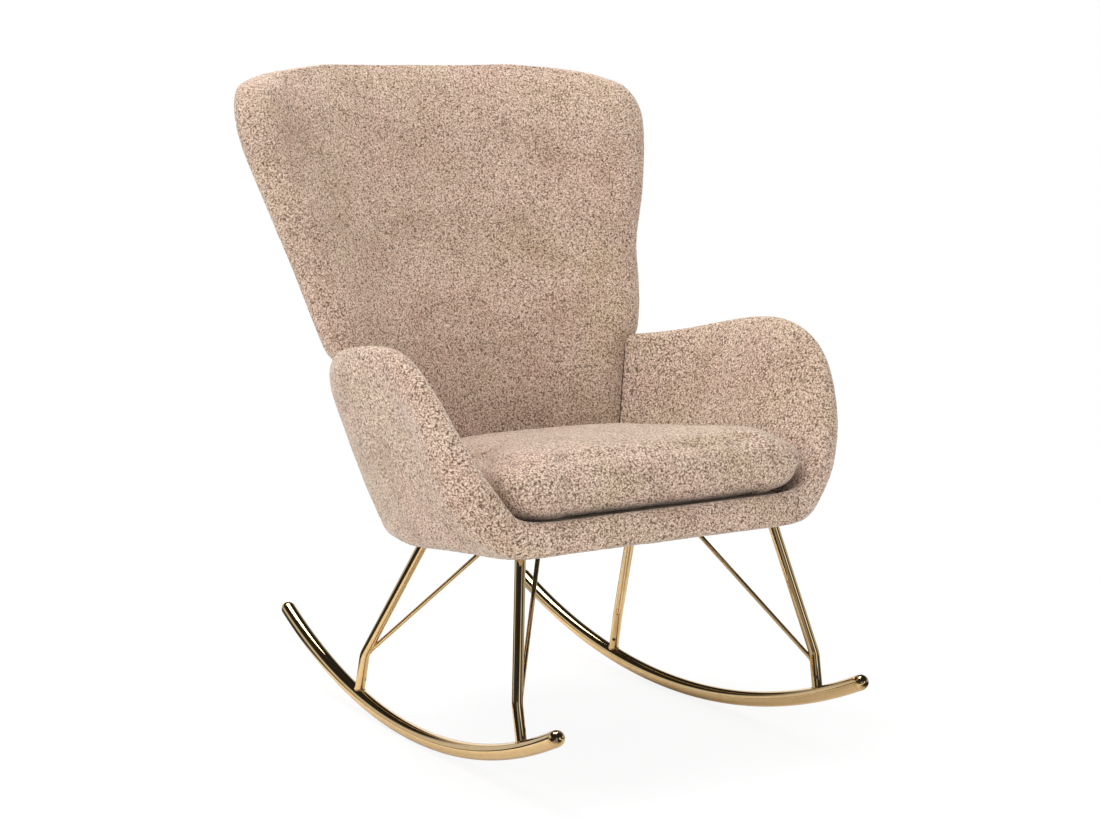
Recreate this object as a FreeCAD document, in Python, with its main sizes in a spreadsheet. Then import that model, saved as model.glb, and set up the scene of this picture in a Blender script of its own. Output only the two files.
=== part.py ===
import FreeCAD, Part
import math
import os
import Sketcher
from FreeCAD import Placement, Rotation, Vector

# Rocking armchair: a padded tub and winged back on two steel rockers.
# Frame: +Z up, the sitter faces -Y, origin on the floor under the lowest point of the rockers.
# Everything above the legs is drawn in the seat frame: its XY plane is the underside of the
# seat, which leans back with the seat.

os.makedirs("parts", exist_ok=True)
doc = FreeCAD.newDocument("rocking_armchair")

# Driving dimensions, in millimetres, and angles in degrees.
DIMENSIONS = (
    # rockers
    ("rocker_arc_radius", 1029.0),
    ("rocker_half_angle", 25.4),
    ("rocker_tube_diameter", 24.0),
    ("rocker_wall", 1.5),
    ("rocker_spacing", 504.0),
    ("rocker_toe_angle", 2.29),
    ("cap_spigot_length", 16.0),
    ("cap_fit", 0.1),
    # legs
    ("leg_tube_diameter", 16.0),
    ("leg_wall", 1.5),
    ("leg_bend_radius", 40.0),
    ("front_foot_angle", 19.8),
    ("rear_foot_angle", -9.78),
    ("front_bend_side", 266.7),
    ("front_bend_reach", -336.9),
    ("front_bend_height", 134.4),
    ("front_top_side", 226.7),
    ("front_top_reach", -283.0),
    ("rear_bend_side", 242.6),
    ("rear_bend_reach", 157.7),
    ("rear_bend_height", 96.4),
    ("rear_top_side", 196.0),
    ("rear_top_reach", 43.0),
    ("vent_hole_diameter", 5.0),
    ("vent_hole_rise", 16.0),
    # braces
    ("brace_diameter", 7.0),
    ("front_brace_drop", 15.0),
    ("front_brace_top_side", 139.0),
    ("front_brace_top_reach", -195.0),
    ("rear_brace_drop", 3.0),
    ("rear_brace_top_side", 125.0),
    ("rear_brace_top_reach", -50.0),
    # seat frame position
    ("seat_height", 301.0),
    ("seat_tilt", 5.7),
    # steel underframe
    ("bar_thickness", 6.0),
    ("bar_front_width", 50.0),
    ("bar_rear_width", 84.0),
    ("bar_rear_front_edge", -21.0),
    ("bar_rear_half_length", 215.0),
    ("bar_side_width", 40.0),
    ("bar_side_place", 132.0),
    # seat board
    ("board_half_width", 236.0),
    ("board_front", -290.0),
    ("board_rear", 250.0),
    ("board_side_end", -20.0),
    ("board_corner_radius", 18.0),
    ("board_thickness", 16.0),
    ("board_opening_half_width", 168.0),
    ("board_opening_front", -222.0),
    ("board_opening_rear", 90.0),
    ("board_opening_corner", 30.0),
    ("dust_cover_thickness", 1.0),
    ("dust_cover_inset", 2.0),
    # fasteners
    ("bolt_diameter", 8.0),
    ("bolt_clearance", 0.5),
    ("bolt_head_diameter", 14.0),
    ("bolt_head_height", 5.0),
    ("bolt_socket_width", 5.0),
    ("bolt_socket_depth", 2.5),
    ("bolt_end_gap", 2.0),
    ("washer_diameter", 17.0),
    ("washer_thickness", 1.6),
    ("tee_nut_flange_diameter", 21.0),
    ("tee_nut_flange_thickness", 1.4),
    ("tee_nut_barrel_diameter", 10.0),
    ("tee_nut_barrel_length", 11.0),
    ("bolt_front_reach", -270.0),
    ("bolt_front_outer_side", 170.0),
    ("bolt_front_inner_side", 60.0),
    ("bolt_rear_reach", -2.0),
    ("bolt_rear_side", 192.0),
    # webbing and deck
    ("strap_width", 48.0),
    ("strap_thickness", 1.5),
    ("strap_lap", 22.0),
    ("deck_half_width", 205.0),
    ("deck_front", -292.0),
    ("deck_rear", 124.0),
    ("deck_rear_corner_drop", 38.0),
    ("deck_corner_radius", 45.0),
    ("deck_top", 52.0),
    # tub
    ("tub_half_width", 355.0),
    ("tub_half_depth", 325.0),
    ("rim_rise", 290.0),
    ("wall_rim_radius", 22.0),
    ("wall_foot", 52.0),
    ("wall_bottom_round", 24.0),
    ("shell_thickness", 9.0),
    ("shell_rim_depth", 30.0),
    ("shell_foam_inside", 9.0),
    ("soft_clearance", 0.4),
    # back
    ("back_half_width", 380.0),
    ("back_top", 755.0),
    ("back_setback", 233.0),
    ("back_hollow", 86.0),
    ("back_thickness", 60.0),
    ("back_shell_thickness", 6.5),
    ("back_shell_margin", 42.0),
    ("back_rear_padding", 9.0),
    ("back_hollow_margin", 54.0),
    ("bracket_width", 40.0),
    ("bracket_thickness", 3.0),
    ("bracket_rise", 62.0),
    ("bracket_foot", 24.0),
    ("bracket_side", 95.0),
    ("bracket_sink", 1.0),
    ("bracket_turn", 12.0),
    # cushion
    ("cushion_half_width", 262.0),
    ("cushion_front", -350.0),
    ("cushion_rear", 138.0),
    ("cushion_thickness", 100.0),
    ("cover_thickness", 2.5),
    ("zip_length", 300.0),
    ("zip_height", 7.0),
    ("zip_rise", 24.0),
    # tool overrun
    ("overrun", 30.0),
)

sheet = doc.addObject("Spreadsheet::Sheet", "sizes")
for row, (alias, number) in enumerate(DIMENSIONS, start=1):
    sheet.set(f"A{row}", alias)
    sheet.set(f"B{row}", str(number))
    sheet.setAlias(f"B{row}", alias)
doc.recompute()


def size(alias):
    """Value of one driving dimension, read from the sheet."""
    return float(sheet.get(alias))


SIDES = (("left", -1), ("right", 1))
nodes = []


def keep(obj, label):
    """Names a finished sub-part and puts it on the list of pieces to write."""
    obj.Label = label
    nodes.append(obj)
    return obj


# Helpers for bodies, sketches and features

def body_named(name):
    return doc.addObject("PartDesign::Body", name + "_body")


def origin_plane(body, role):
    return next(item for item in body.Origin.OriginFeatures if item.Role == role)


def sketch_on(body, role, name, rise=None):
    """Sketch on an origin plane of its own body, lifted by an expression when one is given."""
    sketch = body.newObject("Sketcher::SketchObject", name)
    sketch.AttachmentSupport = (origin_plane(body, role), [""])
    sketch.MapMode = "FlatFace"
    if rise:
        sketch.setExpression("AttachmentOffset.Base.z", rise)
    return sketch


def add_circle(sketch, centre, diameter, name):
    """Circle whose diameter follows the named dimension."""
    radius = size(diameter) / 2
    index = sketch.addGeometry(Part.Circle(centre, Vector(0, 0, 1), radius))
    number = sketch.addConstraint(Sketcher.Constraint("Diameter", index, 2 * radius))
    sketch.renameConstraint(number, name)
    sketch.setExpression("Constraints." + name, "sizes." + diameter)
    return index


def pad(body, sketch, name, length, midplane=False):
    """Pad whose length is an expression of the sheet."""
    feature = body.newObject("PartDesign::Pad", name)
    feature.Profile = sketch
    feature.setExpression("Length", length)
    feature.Midplane = midplane
    sketch.Visibility = False
    return feature


def line(start, end):
    return Part.LineSegment(start, end)


def arc(start, through, end):
    return Part.Arc(start, through, end)


def wire_of(curves):
    return Part.Wire([curve.toShape() for curve in curves])


def feature_with(shape, name, placement=None):
    """Free-form piece whose shape is set here, placed after the shape is set."""
    feature = doc.addObject("Part::Feature", name)
    feature.Shape = shape
    if placement:
        feature.Placement = placement
    return feature


def cut_of(base, tool, name):
    cut = doc.addObject("Part::Cut", name)
    cut.Base = base
    cut.Tool = tool
    return cut


# Frames

SEAT = Placement(Vector(0, 0, size("seat_height")), Rotation(Vector(1, 0, 0), -size("seat_tilt")))


def rocker_frame(side):
    """Stands at the lowest point of one rocker and turns with its toe-in."""
    return Placement(
        Vector(side * size("rocker_spacing") / 2, 0, 0),
        Rotation(Vector(0, 0, 1), side * size("rocker_toe_angle")),
    )


def rocker_local_point(angle):
    """Point of the rocker's centre line, at an angle forward of the lowest point."""
    turn = math.radians(angle)
    radius = size("rocker_arc_radius")
    rise = size("rocker_tube_diameter") / 2 + radius
    return Vector(0, -radius * math.sin(turn), rise - radius * math.cos(turn))


def seat_point(side, across, along):
    """Point of the seat's underside, in the chair's frame."""
    return SEAT.multVec(Vector(side * across, along, 0))


# Rockers: a bent tube each, drawn as a ring turned about the centre of the arc

def build_rocker(name, side):
    body = body_named(name)
    ring = sketch_on(body, "XZ_Plane", name + "_ring")
    centre = Vector(0, size("rocker_tube_diameter") / 2, 0)
    outer = add_circle(ring, centre, "rocker_tube_diameter", "outer_diameter")
    bore = 2 * (size("rocker_tube_diameter") / 2 - size("rocker_wall"))
    inner = ring.addGeometry(Part.Circle(centre, Vector(0, 0, 1), bore / 2))
    number = ring.addConstraint(Sketcher.Constraint("Diameter", inner, bore))
    ring.renameConstraint(number, "bore")
    ring.setExpression("Constraints.bore", "sizes.rocker_tube_diameter - 2 * sizes.rocker_wall")
    ring.addConstraint(Sketcher.Constraint("Coincident", outer, 3, inner, 3))
    ring.addConstraint(Sketcher.Constraint("PointOnObject", outer, 3, -2))
    height = ring.addConstraint(Sketcher.Constraint("DistanceY", -1, 1, outer, 3, centre.y))
    ring.renameConstraint(height, "centre_height")
    ring.setExpression("Constraints.centre_height", "sizes.rocker_tube_diameter / 2")
    level = centre.y + size("rocker_arc_radius")
    reach = size("rocker_tube_diameter")
    axis = ring.addGeometry(line(Vector(-reach, level, 0), Vector(reach, level, 0)), True)
    ring.addConstraint(Sketcher.Constraint("Symmetric", axis, 1, axis, 2, -2))
    half = ring.addConstraint(Sketcher.Constraint("DistanceX", axis, 1, axis, 2, 2 * reach))
    ring.renameConstraint(half, "axis_length")
    ring.setExpression("Constraints.axis_length", "2 * sizes.rocker_tube_diameter")
    rise = ring.addConstraint(Sketcher.Constraint("DistanceY", outer, 3, axis, 1, size("rocker_arc_radius")))
    ring.renameConstraint(rise, "arc_radius")
    ring.setExpression("Constraints.arc_radius", "sizes.rocker_arc_radius")
    turned = body.newObject("PartDesign::Revolution", name + "_bend")
    turned.Profile = ring
    turned.ReferenceAxis = (ring, ["Axis0"])
    turned.setExpression("Angle", "2 * sizes.rocker_half_angle")
    turned.Midplane = True
    body.Placement = rocker_frame(side)
    return keep(body, name)


def build_cap(name, side, end):
    """Domed plug that closes one end of a rocker; its spigot goes into the bore."""
    body = body_named(name)
    radius = size("rocker_tube_diameter") / 2
    spigot = radius - size("rocker_wall") - size("cap_fit")
    depth = -size("cap_spigot_length")
    profile = sketch_on(body, "XZ_Plane", name + "_profile")
    corners = (
        Vector(0, radius, 0),
        Vector(0, depth, 0),
        Vector(spigot, depth, 0),
        Vector(spigot, 0, 0),
        Vector(radius, 0, 0),
    )
    for start, finish in zip(corners, corners[1:]):
        profile.addGeometry(line(start, finish))
    quarter = math.radians(45)
    through = Vector(radius * math.cos(quarter), radius * math.sin(quarter), 0)
    profile.addGeometry(arc(corners[-1], through, corners[0]))
    turned = body.newObject("PartDesign::Revolution", name + "_dome")
    turned.Profile = profile
    turned.ReferenceAxis = (profile, ["V_Axis"])
    angle = end * size("rocker_half_angle")
    tilt = Rotation(Vector(1, 0, 0), end * (90 - size("rocker_half_angle")))
    body.Placement = rocker_frame(side).multiply(Placement(rocker_local_point(angle), tilt))
    return body


def build_caps():
    """The four plugs, one at each end of each rocker, kept as one group."""
    caps = [
        build_cap(f"rocker_cap_{place}_{word}", side, end)
        for word, side in SIDES
        for place, end in (("front", 1), ("rear", -1))
    ]
    group = doc.addObject("Part::Compound", "rocker_caps_group")
    group.Links = caps
    return keep(group, "rocker_caps")


# Legs: bent tubes, coped onto the rocker below and cut flush under the seat frame

def rocker_envelope(name, side):
    """Filled ring the size of the rocker tube, used to cope the legs."""
    ring = doc.addObject("Part::Torus", name)
    ring.setExpression("Radius1", "sizes.rocker_arc_radius")
    ring.setExpression("Radius2", "sizes.rocker_tube_diameter / 2")
    centre = Vector(0, 0, size("rocker_arc_radius") + size("rocker_tube_diameter") / 2)
    upright = Placement(centre, Rotation(Vector(0, 1, 0), 90))
    ring.Placement = rocker_frame(side).multiply(upright)
    return ring


def seat_envelope(name):
    """Block that fills the space above the seat's underside, used to trim what meets it."""
    block = doc.addObject("Part::Box", name)
    width = 2 * size("tub_half_width")
    block.setExpression("Length", "2 * sizes.tub_half_width")
    block.setExpression("Width", "2 * sizes.tub_half_depth")
    block.setExpression("Height", "sizes.rim_rise")
    corner = Placement(Vector(-width / 2, -size("tub_half_depth"), 0), Rotation())
    block.Placement = SEAT.multiply(corner)
    return block


def leg_path(foot, bend, top):
    """Centre line: straight foot, tangent bend, straight upper run past the seat's underside."""
    down = (foot - bend).normalize()
    upward = (top - bend).normalize()
    half = down.getAngle(upward) / 2
    tangent = size("leg_bend_radius") / math.tan(half)
    inward = (down + upward).normalize()
    reach = size("leg_bend_radius") / math.sin(half)
    middle = bend + inward * (reach - size("leg_bend_radius"))
    first = bend + down * tangent
    last = bend + upward * tangent
    past = top + upward * size("overrun")
    return wire_of([line(foot, first), arc(first, middle, last), line(last, past)])


def pipe_along(path, radius, name):
    start = path.Vertexes[0].Point
    tangent = path.Edges[0].tangentAt(path.Edges[0].FirstParameter)
    circle = Part.Wire([Part.Circle(start, tangent, radius).toShape()])
    return feature_with(path.makePipeShell([circle], True, False), name)


def build_leg(name, side, foot_angle, kind, rocker, above):
    foot = rocker_frame(side).multVec(rocker_local_point(foot_angle))
    bend = Vector(
        side * size(kind + "_bend_side"),
        size(kind + "_bend_reach"),
        size(kind + "_bend_height"),
    )
    top = seat_point(side, size(kind + "_top_side"), size(kind + "_top_reach"))
    path = leg_path(foot, bend, top)
    radius = size("leg_tube_diameter") / 2
    blank = pipe_along(path, radius, name + "_outside")
    bore = pipe_along(path, radius - size("leg_wall"), name + "_bore")
    tube = cut_of(blank, bore, name + "_tube")
    coped = cut_of(tube, rocker, name + "_coped")
    trimmed = cut_of(coped, above, name + "_trimmed")
    vent = doc.addObject("Part::Cylinder", name + "_vent")
    vent.setExpression("Radius", "sizes.vent_hole_diameter / 2")
    vent.setExpression("Height", "sizes.leg_tube_diameter")
    along = (bend - foot).normalize()
    rise = size("rocker_tube_diameter") / 2 + size("vent_hole_rise")
    vent.Placement = Placement(foot + along * rise, Rotation(Vector(0, 0, 1), Vector(-side, 0, 0)))
    keep(cut_of(trimmed, vent, name + "_drilled"), name)
    return blank, bend, along


def build_brace(name, side, kind, leg_blank, bend, along, above):
    """Thin rod from just below a leg's bend to the steel frame under the seat."""
    foot = bend - along * size(kind + "_brace_drop")
    top = seat_point(side, size(kind + "_brace_top_side"), size(kind + "_brace_top_reach"))
    run = top - foot
    rod = doc.addObject("Part::Cylinder", name + "_rod")
    rod.setExpression("Radius", "sizes.brace_diameter / 2")
    rod.Height = run.Length + size("overrun")
    rod.Placement = Placement(foot, Rotation(Vector(0, 0, 1), run))
    fitted = cut_of(rod, leg_blank, name + "_fitted")
    return keep(cut_of(fitted, above, name + "_trimmed"), name)


# Steel underframe: four flat bars in one plane, butt welded

def flat_bar(name, curves, holes):
    body = body_named(name)
    face = sketch_on(body, "XY_Plane", name + "_outline")
    face.addGeometry(curves)
    for across, along in holes:
        hole = Part.Circle(Vector(across, along, 0), Vector(0, 0, 1), bolt_hole_radius())
        face.addGeometry(hole)
    pad(body, face, name + "_pad", "sizes.bar_thickness")
    body.Placement = SEAT
    return keep(body, name)


def bolt_hole_radius():
    return size("bolt_diameter") / 2 + size("bolt_clearance")


def rectangle(left, right, front, rear):
    corners = (
        Vector(left, front, 0),
        Vector(right, front, 0),
        Vector(right, rear, 0),
        Vector(left, rear, 0),
    )
    return [line(corners[index - 1], corners[index]) for index in range(len(corners))]


def front_bar_outline():
    """Bar whose two front corners are rounded like the board above it."""
    half = size("board_half_width")
    front = size("board_front")
    rear = front + size("bar_front_width")
    radius = size("board_corner_radius")
    left = Vector(-half, front + radius, 0)
    right = Vector(half, front + radius, 0)
    left_front = Vector(-half + radius, front, 0)
    right_front = Vector(half - radius, front, 0)
    return [
        line(left_front, right_front),
        corner_arc(right_front, right, Vector(half - radius, front + radius, 0)),
        line(right, Vector(half, rear, 0)),
        line(Vector(half, rear, 0), Vector(-half, rear, 0)),
        line(Vector(-half, rear, 0), left),
        corner_arc(left, left_front, Vector(-half + radius, front + radius, 0)),
    ]


def corner_arc(start, end, centre):
    """Arc of under a half circle between two points at the same distance from a centre."""
    middle = (start + end) * 0.5 - centre
    radius = (start - centre).Length
    return arc(start, centre + middle.normalize() * radius, end)


BOLT_PLACES = []
for side in (-1, 1):
    BOLT_PLACES.append((side * size("bolt_front_outer_side"), size("bolt_front_reach")))
    BOLT_PLACES.append((side * size("bolt_front_inner_side"), size("bolt_front_reach")))
    BOLT_PLACES.append((side * size("bolt_rear_side"), size("bolt_rear_reach")))


def build_underframe():
    front_rear_edge = size("board_front") + size("bar_front_width")
    rear_front_edge = size("bar_rear_front_edge")
    rear_rear_edge = rear_front_edge + size("bar_rear_width")
    front_holes = [place for place in BOLT_PLACES if place[1] < front_rear_edge]
    rear_holes = [place for place in BOLT_PLACES if place[1] > rear_front_edge]
    flat_bar("underframe_front_bar", front_bar_outline(), front_holes)
    half = size("bar_rear_half_length")
    outline = rectangle(-half, half, rear_front_edge, rear_rear_edge)
    flat_bar("underframe_rear_bar", outline, rear_holes)
    for word, side in SIDES:
        middle = side * size("bar_side_place")
        reach = size("bar_side_width") / 2
        outline = rectangle(middle - reach, middle + reach, front_rear_edge, rear_front_edge)
        flat_bar("underframe_side_bar_" + word, outline, ())


# Seat board with its webbing opening, and the dust cover under it

def seat_outline(inset):
    """Plan of the seat board: square front corners, straight sides, one round rear."""
    half = size("board_half_width") - inset
    front = size("board_front") + inset
    rear = size("board_rear") - inset
    turn = size("board_side_end")
    radius = size("board_corner_radius")
    sweep = (half ** 2 + (rear - turn) ** 2) / (2 * half)
    centre = Vector(half - sweep, turn, 0)
    right_side = Vector(half, turn, 0)
    middle = Vector(0, rear, 0)
    rear_right = corner_arc(right_side, middle, centre)
    left_centre = Vector(-centre.x, turn, 0)
    rear_left = corner_arc(middle, Vector(-half, turn, 0), left_centre)
    right_low = Vector(half, front + radius, 0)
    left_low = Vector(-half, front + radius, 0)
    right_front = Vector(half - radius, front, 0)
    left_front = Vector(-half + radius, front, 0)
    return [
        line(left_front, right_front),
        corner_arc(right_front, right_low, Vector(half - radius, front + radius, 0)),
        line(right_low, right_side),
        rear_right,
        rear_left,
        line(Vector(-half, turn, 0), left_low),
        corner_arc(left_low, left_front, Vector(-half + radius, front + radius, 0)),
    ]


def rounded_rectangle(half, front, rear, radius):
    points = (
        (Vector(-half + radius, front, 0), Vector(half - radius, front, 0)),
        (Vector(half, front + radius, 0), Vector(half, rear - radius, 0)),
        (Vector(half - radius, rear, 0), Vector(-half + radius, rear, 0)),
        (Vector(-half, rear - radius, 0), Vector(-half, front + radius, 0)),
    )
    centres = (
        Vector(half - radius, front + radius, 0),
        Vector(half - radius, rear - radius, 0),
        Vector(-half + radius, rear - radius, 0),
        Vector(-half + radius, front + radius, 0),
    )
    curves = []
    for index, (start, end) in enumerate(points):
        following = points[(index + 1) % len(points)][0]
        curves.append(line(start, end))
        curves.append(corner_arc(end, following, centres[index]))
    return curves


def board_bottom():
    return size("bar_thickness") + size("dust_cover_thickness")


def board_top():
    return board_bottom() + size("board_thickness")


def build_seat_board():
    body = body_named("seat_board")
    base = "sizes.bar_thickness + sizes.dust_cover_thickness"
    face = sketch_on(body, "XY_Plane", "seat_board_outline", base)
    face.addGeometry(seat_outline(0))
    pad(body, face, "seat_board_pad", "sizes.board_thickness")
    opening = sketch_on(body, "XY_Plane", "seat_board_opening", base)
    opening.addGeometry(rounded_rectangle(
        size("board_opening_half_width"),
        size("board_opening_front"),
        size("board_opening_rear"),
        size("board_opening_corner"),
    ))
    pocket = body.newObject("PartDesign::Pocket", "seat_board_webbing_pocket")
    pocket.Profile = opening
    pocket.Reversed = True
    pocket.setExpression("Length", "sizes.board_thickness + sizes.overrun")
    drilled = sketch_on(body, "XY_Plane", "seat_board_holes", base)
    for number, (across, along) in enumerate(BOLT_PLACES):
        add_circle(drilled, Vector(across, along, 0), "tee_nut_barrel_diameter", f"nut_hole_{number}")
    holes = body.newObject("PartDesign::Pocket", "seat_board_nut_pocket")
    holes.Profile = drilled
    holes.Reversed = True
    holes.setExpression("Length", "sizes.board_thickness + sizes.overrun")
    body.Placement = SEAT
    return keep(body, "seat_board")


def build_dust_cover():
    body = body_named("dust_cover")
    face = sketch_on(body, "XY_Plane", "dust_cover_outline", "sizes.bar_thickness")
    face.addGeometry(seat_outline(size("dust_cover_inset")))
    for across, along in BOLT_PLACES:
        face.addGeometry(Part.Circle(Vector(across, along, 0), Vector(0, 0, 1), bolt_hole_radius()))
    pad(body, face, "dust_cover_pad", "sizes.dust_cover_thickness")
    body.Placement = SEAT
    return keep(body, "dust_cover")


# Fasteners of the seat board, one group each

def cylinder(radius, length, place):
    return Part.makeCylinder(radius, length, place, Vector(0, 0, 1))


def build_fasteners():
    bolts = []
    washers = []
    nuts = []
    shank = size("bolt_diameter") / 2
    washer = size("washer_thickness")
    flange = size("tee_nut_flange_thickness")
    for across, along in BOLT_PLACES:
        place = Vector(across, along, -washer)
        head = cylinder(size("bolt_head_diameter") / 2, size("bolt_head_height"),
                        place - Vector(0, 0, size("bolt_head_height")))
        length = washer + board_top() - size("bolt_end_gap")
        socket = cylinder(size("bolt_socket_width") / 2, size("bolt_socket_depth"),
                          place - Vector(0, 0, size("bolt_head_height")))
        bolts.append(head.fuse(cylinder(shank, length, place)).cut(socket))
        ring = cylinder(size("washer_diameter") / 2, washer, place)
        washers.append(ring.cut(cylinder(bolt_hole_radius(), washer, place)))
        top = Vector(across, along, board_top())
        barrel_start = top - Vector(0, 0, size("tee_nut_barrel_length"))
        barrel = cylinder(size("tee_nut_barrel_diameter") / 2, size("tee_nut_barrel_length"), barrel_start)
        plate = cylinder(size("tee_nut_flange_diameter") / 2, flange, top)
        bore = cylinder(shank, size("tee_nut_barrel_length") + flange, barrel_start)
        nuts.append(barrel.fuse(plate).cut(bore))
    keep(feature_with(Part.makeCompound(bolts), "bolts", SEAT), "frame_bolts")
    keep(feature_with(Part.makeCompound(washers), "washers", SEAT), "frame_washers")
    keep(feature_with(Part.makeCompound(nuts), "nuts", SEAT), "tee_nuts")


# Webbing straps, crossed over the opening of the board, and the deck pad on them

LENGTHWISE_STRAP_SHARES = (-0.72, -0.36, 0.0, 0.36, 0.72)
CROSSWISE_STRAP_SHARES = (0.1, 0.31, 0.52, 0.86)


def build_webbing():
    half = size("board_opening_half_width")
    front = size("board_opening_front")
    rear = size("board_opening_rear")
    lap = size("strap_lap")
    width = size("strap_width")
    thick = size("strap_thickness")
    run = rear - front + 2 * lap
    lengthwise = []
    for share in LENGTHWISE_STRAP_SHARES:
        corner = Vector(share * half - width / 2, front - lap, board_top())
        lengthwise.append(Part.makeBox(width, run, thick, corner))
    crosswise = []
    for share in CROSSWISE_STRAP_SHARES:
        corner = Vector(-half - lap, front + share * (rear - front) - width / 2, board_top() + thick)
        crosswise.append(Part.makeBox(2 * (half + lap), width, thick, corner))
    keep(feature_with(Part.makeCompound(lengthwise), "straps_long", SEAT), "webbing_lengthwise")
    keep(feature_with(Part.makeCompound(crosswise), "straps_cross", SEAT), "webbing_crosswise")


def build_deck_block():
    body = body_named("deck_foam")
    start = "sizes.bar_thickness + sizes.dust_cover_thickness + sizes.board_thickness"
    start += " + 2 * sizes.strap_thickness"
    face = sketch_on(body, "XY_Plane", "deck_foam_outline", start)
    half = size("deck_half_width")
    front = size("deck_front")
    rear = size("deck_rear")
    corner = rear - size("deck_rear_corner_drop")
    radius = size("deck_corner_radius")
    right = Vector(half, front + radius, 0)
    left = Vector(-half, front + radius, 0)
    right_front = Vector(half - radius, front, 0)
    left_front = Vector(-half + radius, front, 0)
    side_end = Vector(half, 0, 0)
    rear_right = Vector(half - radius, corner, 0)
    rear_left = Vector(-half + radius, corner, 0)
    face.addGeometry([
        line(left_front, right_front),
        corner_arc(right_front, right, Vector(half - radius, front + radius, 0)),
        line(right, side_end),
        line(side_end, rear_right),
        arc(rear_right, Vector(0, rear, 0), rear_left),
        line(rear_left, Vector(-half, 0, 0)),
        line(Vector(-half, 0, 0), left),
        corner_arc(left, left_front, Vector(-half + radius, front + radius, 0)),
    ])
    pad(body, face, "deck_foam_pad", "sizes.deck_top - (" + start + ")")
    body.Placement = SEAT
    return body


# Tub: one padded wall that starts as a low apron in front, climbs into the arms and runs
# round behind the back. Each row is one station of the right half, from the middle of the
# front to the middle of the rear: the outer foot of the wall (across, along) and the centre
# of its rounded rim (across, along, rise), as shares of the tub's half width, half depth and
# rim rise.
TUB_STATION_SHARES = (
    (0.000, -0.926, 0.000, -1.003, 0.097),
    (0.366, -0.923, 0.394, -1.003, 0.097),
    (0.577, -0.905, 0.634, -0.994, 0.103),
    (0.654, -0.874, 0.738, -0.978, 0.152),
    (0.685, -0.840, 0.806, -0.957, 0.290),
    (0.699, -0.809, 0.868, -0.923, 0.438),
    (0.707, -0.772, 0.918, -0.877, 0.590),
    (0.713, -0.726, 0.961, -0.812, 0.738),
    (0.715, -0.665, 0.986, -0.714, 0.879),
    (0.718, -0.572, 0.997, -0.597, 0.966),
    (0.718, -0.434, 1.000, -0.455, 1.000),
    (0.715, -0.277, 1.006, -0.274, 1.003),
    (0.704, -0.092, 1.000, -0.089, 0.986),
    (0.685, 0.123, 0.943, 0.092, 0.955),
    (0.637, 0.326, 0.845, 0.267, 0.934),
    (0.558, 0.489, 0.735, 0.452, 0.928),
    (0.423, 0.665, 0.562, 0.668, 0.924),
    (0.225, 0.800, 0.310, 0.818, 0.924),
    (0.000, 0.846, 0.000, 0.874, 0.921),
)
SHELL_FIRST_STATION = 5
STATION_STEPS = 2
RIM_ARC_ANGLE = 82


def eased(rows, steps, before=None, after=None):
    """Rows of a table with smooth rows between them, on a curve through each of its columns."""
    before = before or rows[0]
    after = after or rows[-1]
    knots = [before, *rows, after]
    finer = []
    for index in range(1, len(knots) - 2):
        group = knots[index - 1:index + 3]
        for step in range(steps):
            finer.append(tuple(curve_value(column, step / steps) for column in zip(*group)))
    finer.append(rows[-1])
    return finer


def curve_value(column, share):
    """Cubic through the two middle values, with slopes taken from their neighbours."""
    first, second, third, fourth = column
    slope_in = (third - first) / 2
    slope_out = (fourth - second) / 2
    rise = third - second
    bend = 3 * rise - 2 * slope_in - slope_out
    twist = slope_in + slope_out - 2 * rise
    return second + share * (slope_in + share * (bend + share * twist))


def tub_stations():
    """Foot and rim centre of every station, in the seat frame."""
    half = size("tub_half_width")
    depth = size("tub_half_depth")
    rise = size("rim_rise")
    before, after = [
        (-kx, ky, -cx, cy, cz)
        for kx, ky, cx, cy, cz in (TUB_STATION_SHARES[1], TUB_STATION_SHARES[-2])
    ]
    return [
        (Vector(kx * half, ky * depth, 0), Vector(cx * half, cy * depth, cz * rise))
        for kx, ky, cx, cy, cz in eased(TUB_STATION_SHARES, STATION_STEPS, before, after)
    ]


def mirrored(point):
    return Vector(-point.x, point.y, point.z)


def station_axes(stations, index):
    """Outward level direction at the foot, outward and rimward directions at the rim."""
    last = len(stations) - 1
    before = stations[index - 1][1] if index else mirrored(stations[1][1])
    after = stations[index + 1][1] if index < last else mirrored(stations[last - 1][1])
    rim_run = (after - before).normalize()
    foot, rim = stations[index]
    outward = Vector(foot.x, foot.y, 0).normalize()
    climb = rim - foot
    rimward = (climb - rim_run * climb.dot(rim_run)).normalize()
    across = rimward.cross(rim_run).normalize()
    if across.dot(outward) < 0:
        across = across * -1
    return outward, across, rimward


def bend_between(corner, first, last):
    """Arc that rounds a corner between two points at the same distance from it."""
    one = (first - corner).normalize()
    two = (last - corner).normalize()
    half = one.getAngle(two) / 2
    tangent = (first - corner).Length
    depth = tangent / math.cos(half) - tangent * math.tan(half)
    return arc(first, corner + (one + two).normalize() * depth, last)


def wall_section(stations, index, swell):
    """Closed outline of the padded wall at one station, grown all round by the swell."""
    outward, across, rimward = station_axes(stations, index)
    foot, rim = stations[index]
    radius = size("wall_rim_radius") + swell
    lean = math.radians(RIM_ARC_ANGLE)
    outer_top = rim + across * (radius * math.sin(lean)) + rimward * (radius * math.cos(lean))
    inner_top = rim - across * (radius * math.sin(lean)) + rimward * (radius * math.cos(lean))
    corner = foot + outward * swell
    inner_foot = foot - outward * (size("wall_foot") + swell)
    rounding = size("wall_bottom_round")
    up_face = corner + (outer_top - corner).normalize() * rounding
    under = corner - outward * rounding
    return wire_of([
        line(inner_foot, under),
        bend_between(corner, under, up_face),
        line(up_face, outer_top),
        arc(outer_top, rim + rimward * radius, inner_top),
        line(inner_top, inner_foot),
    ])


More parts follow.
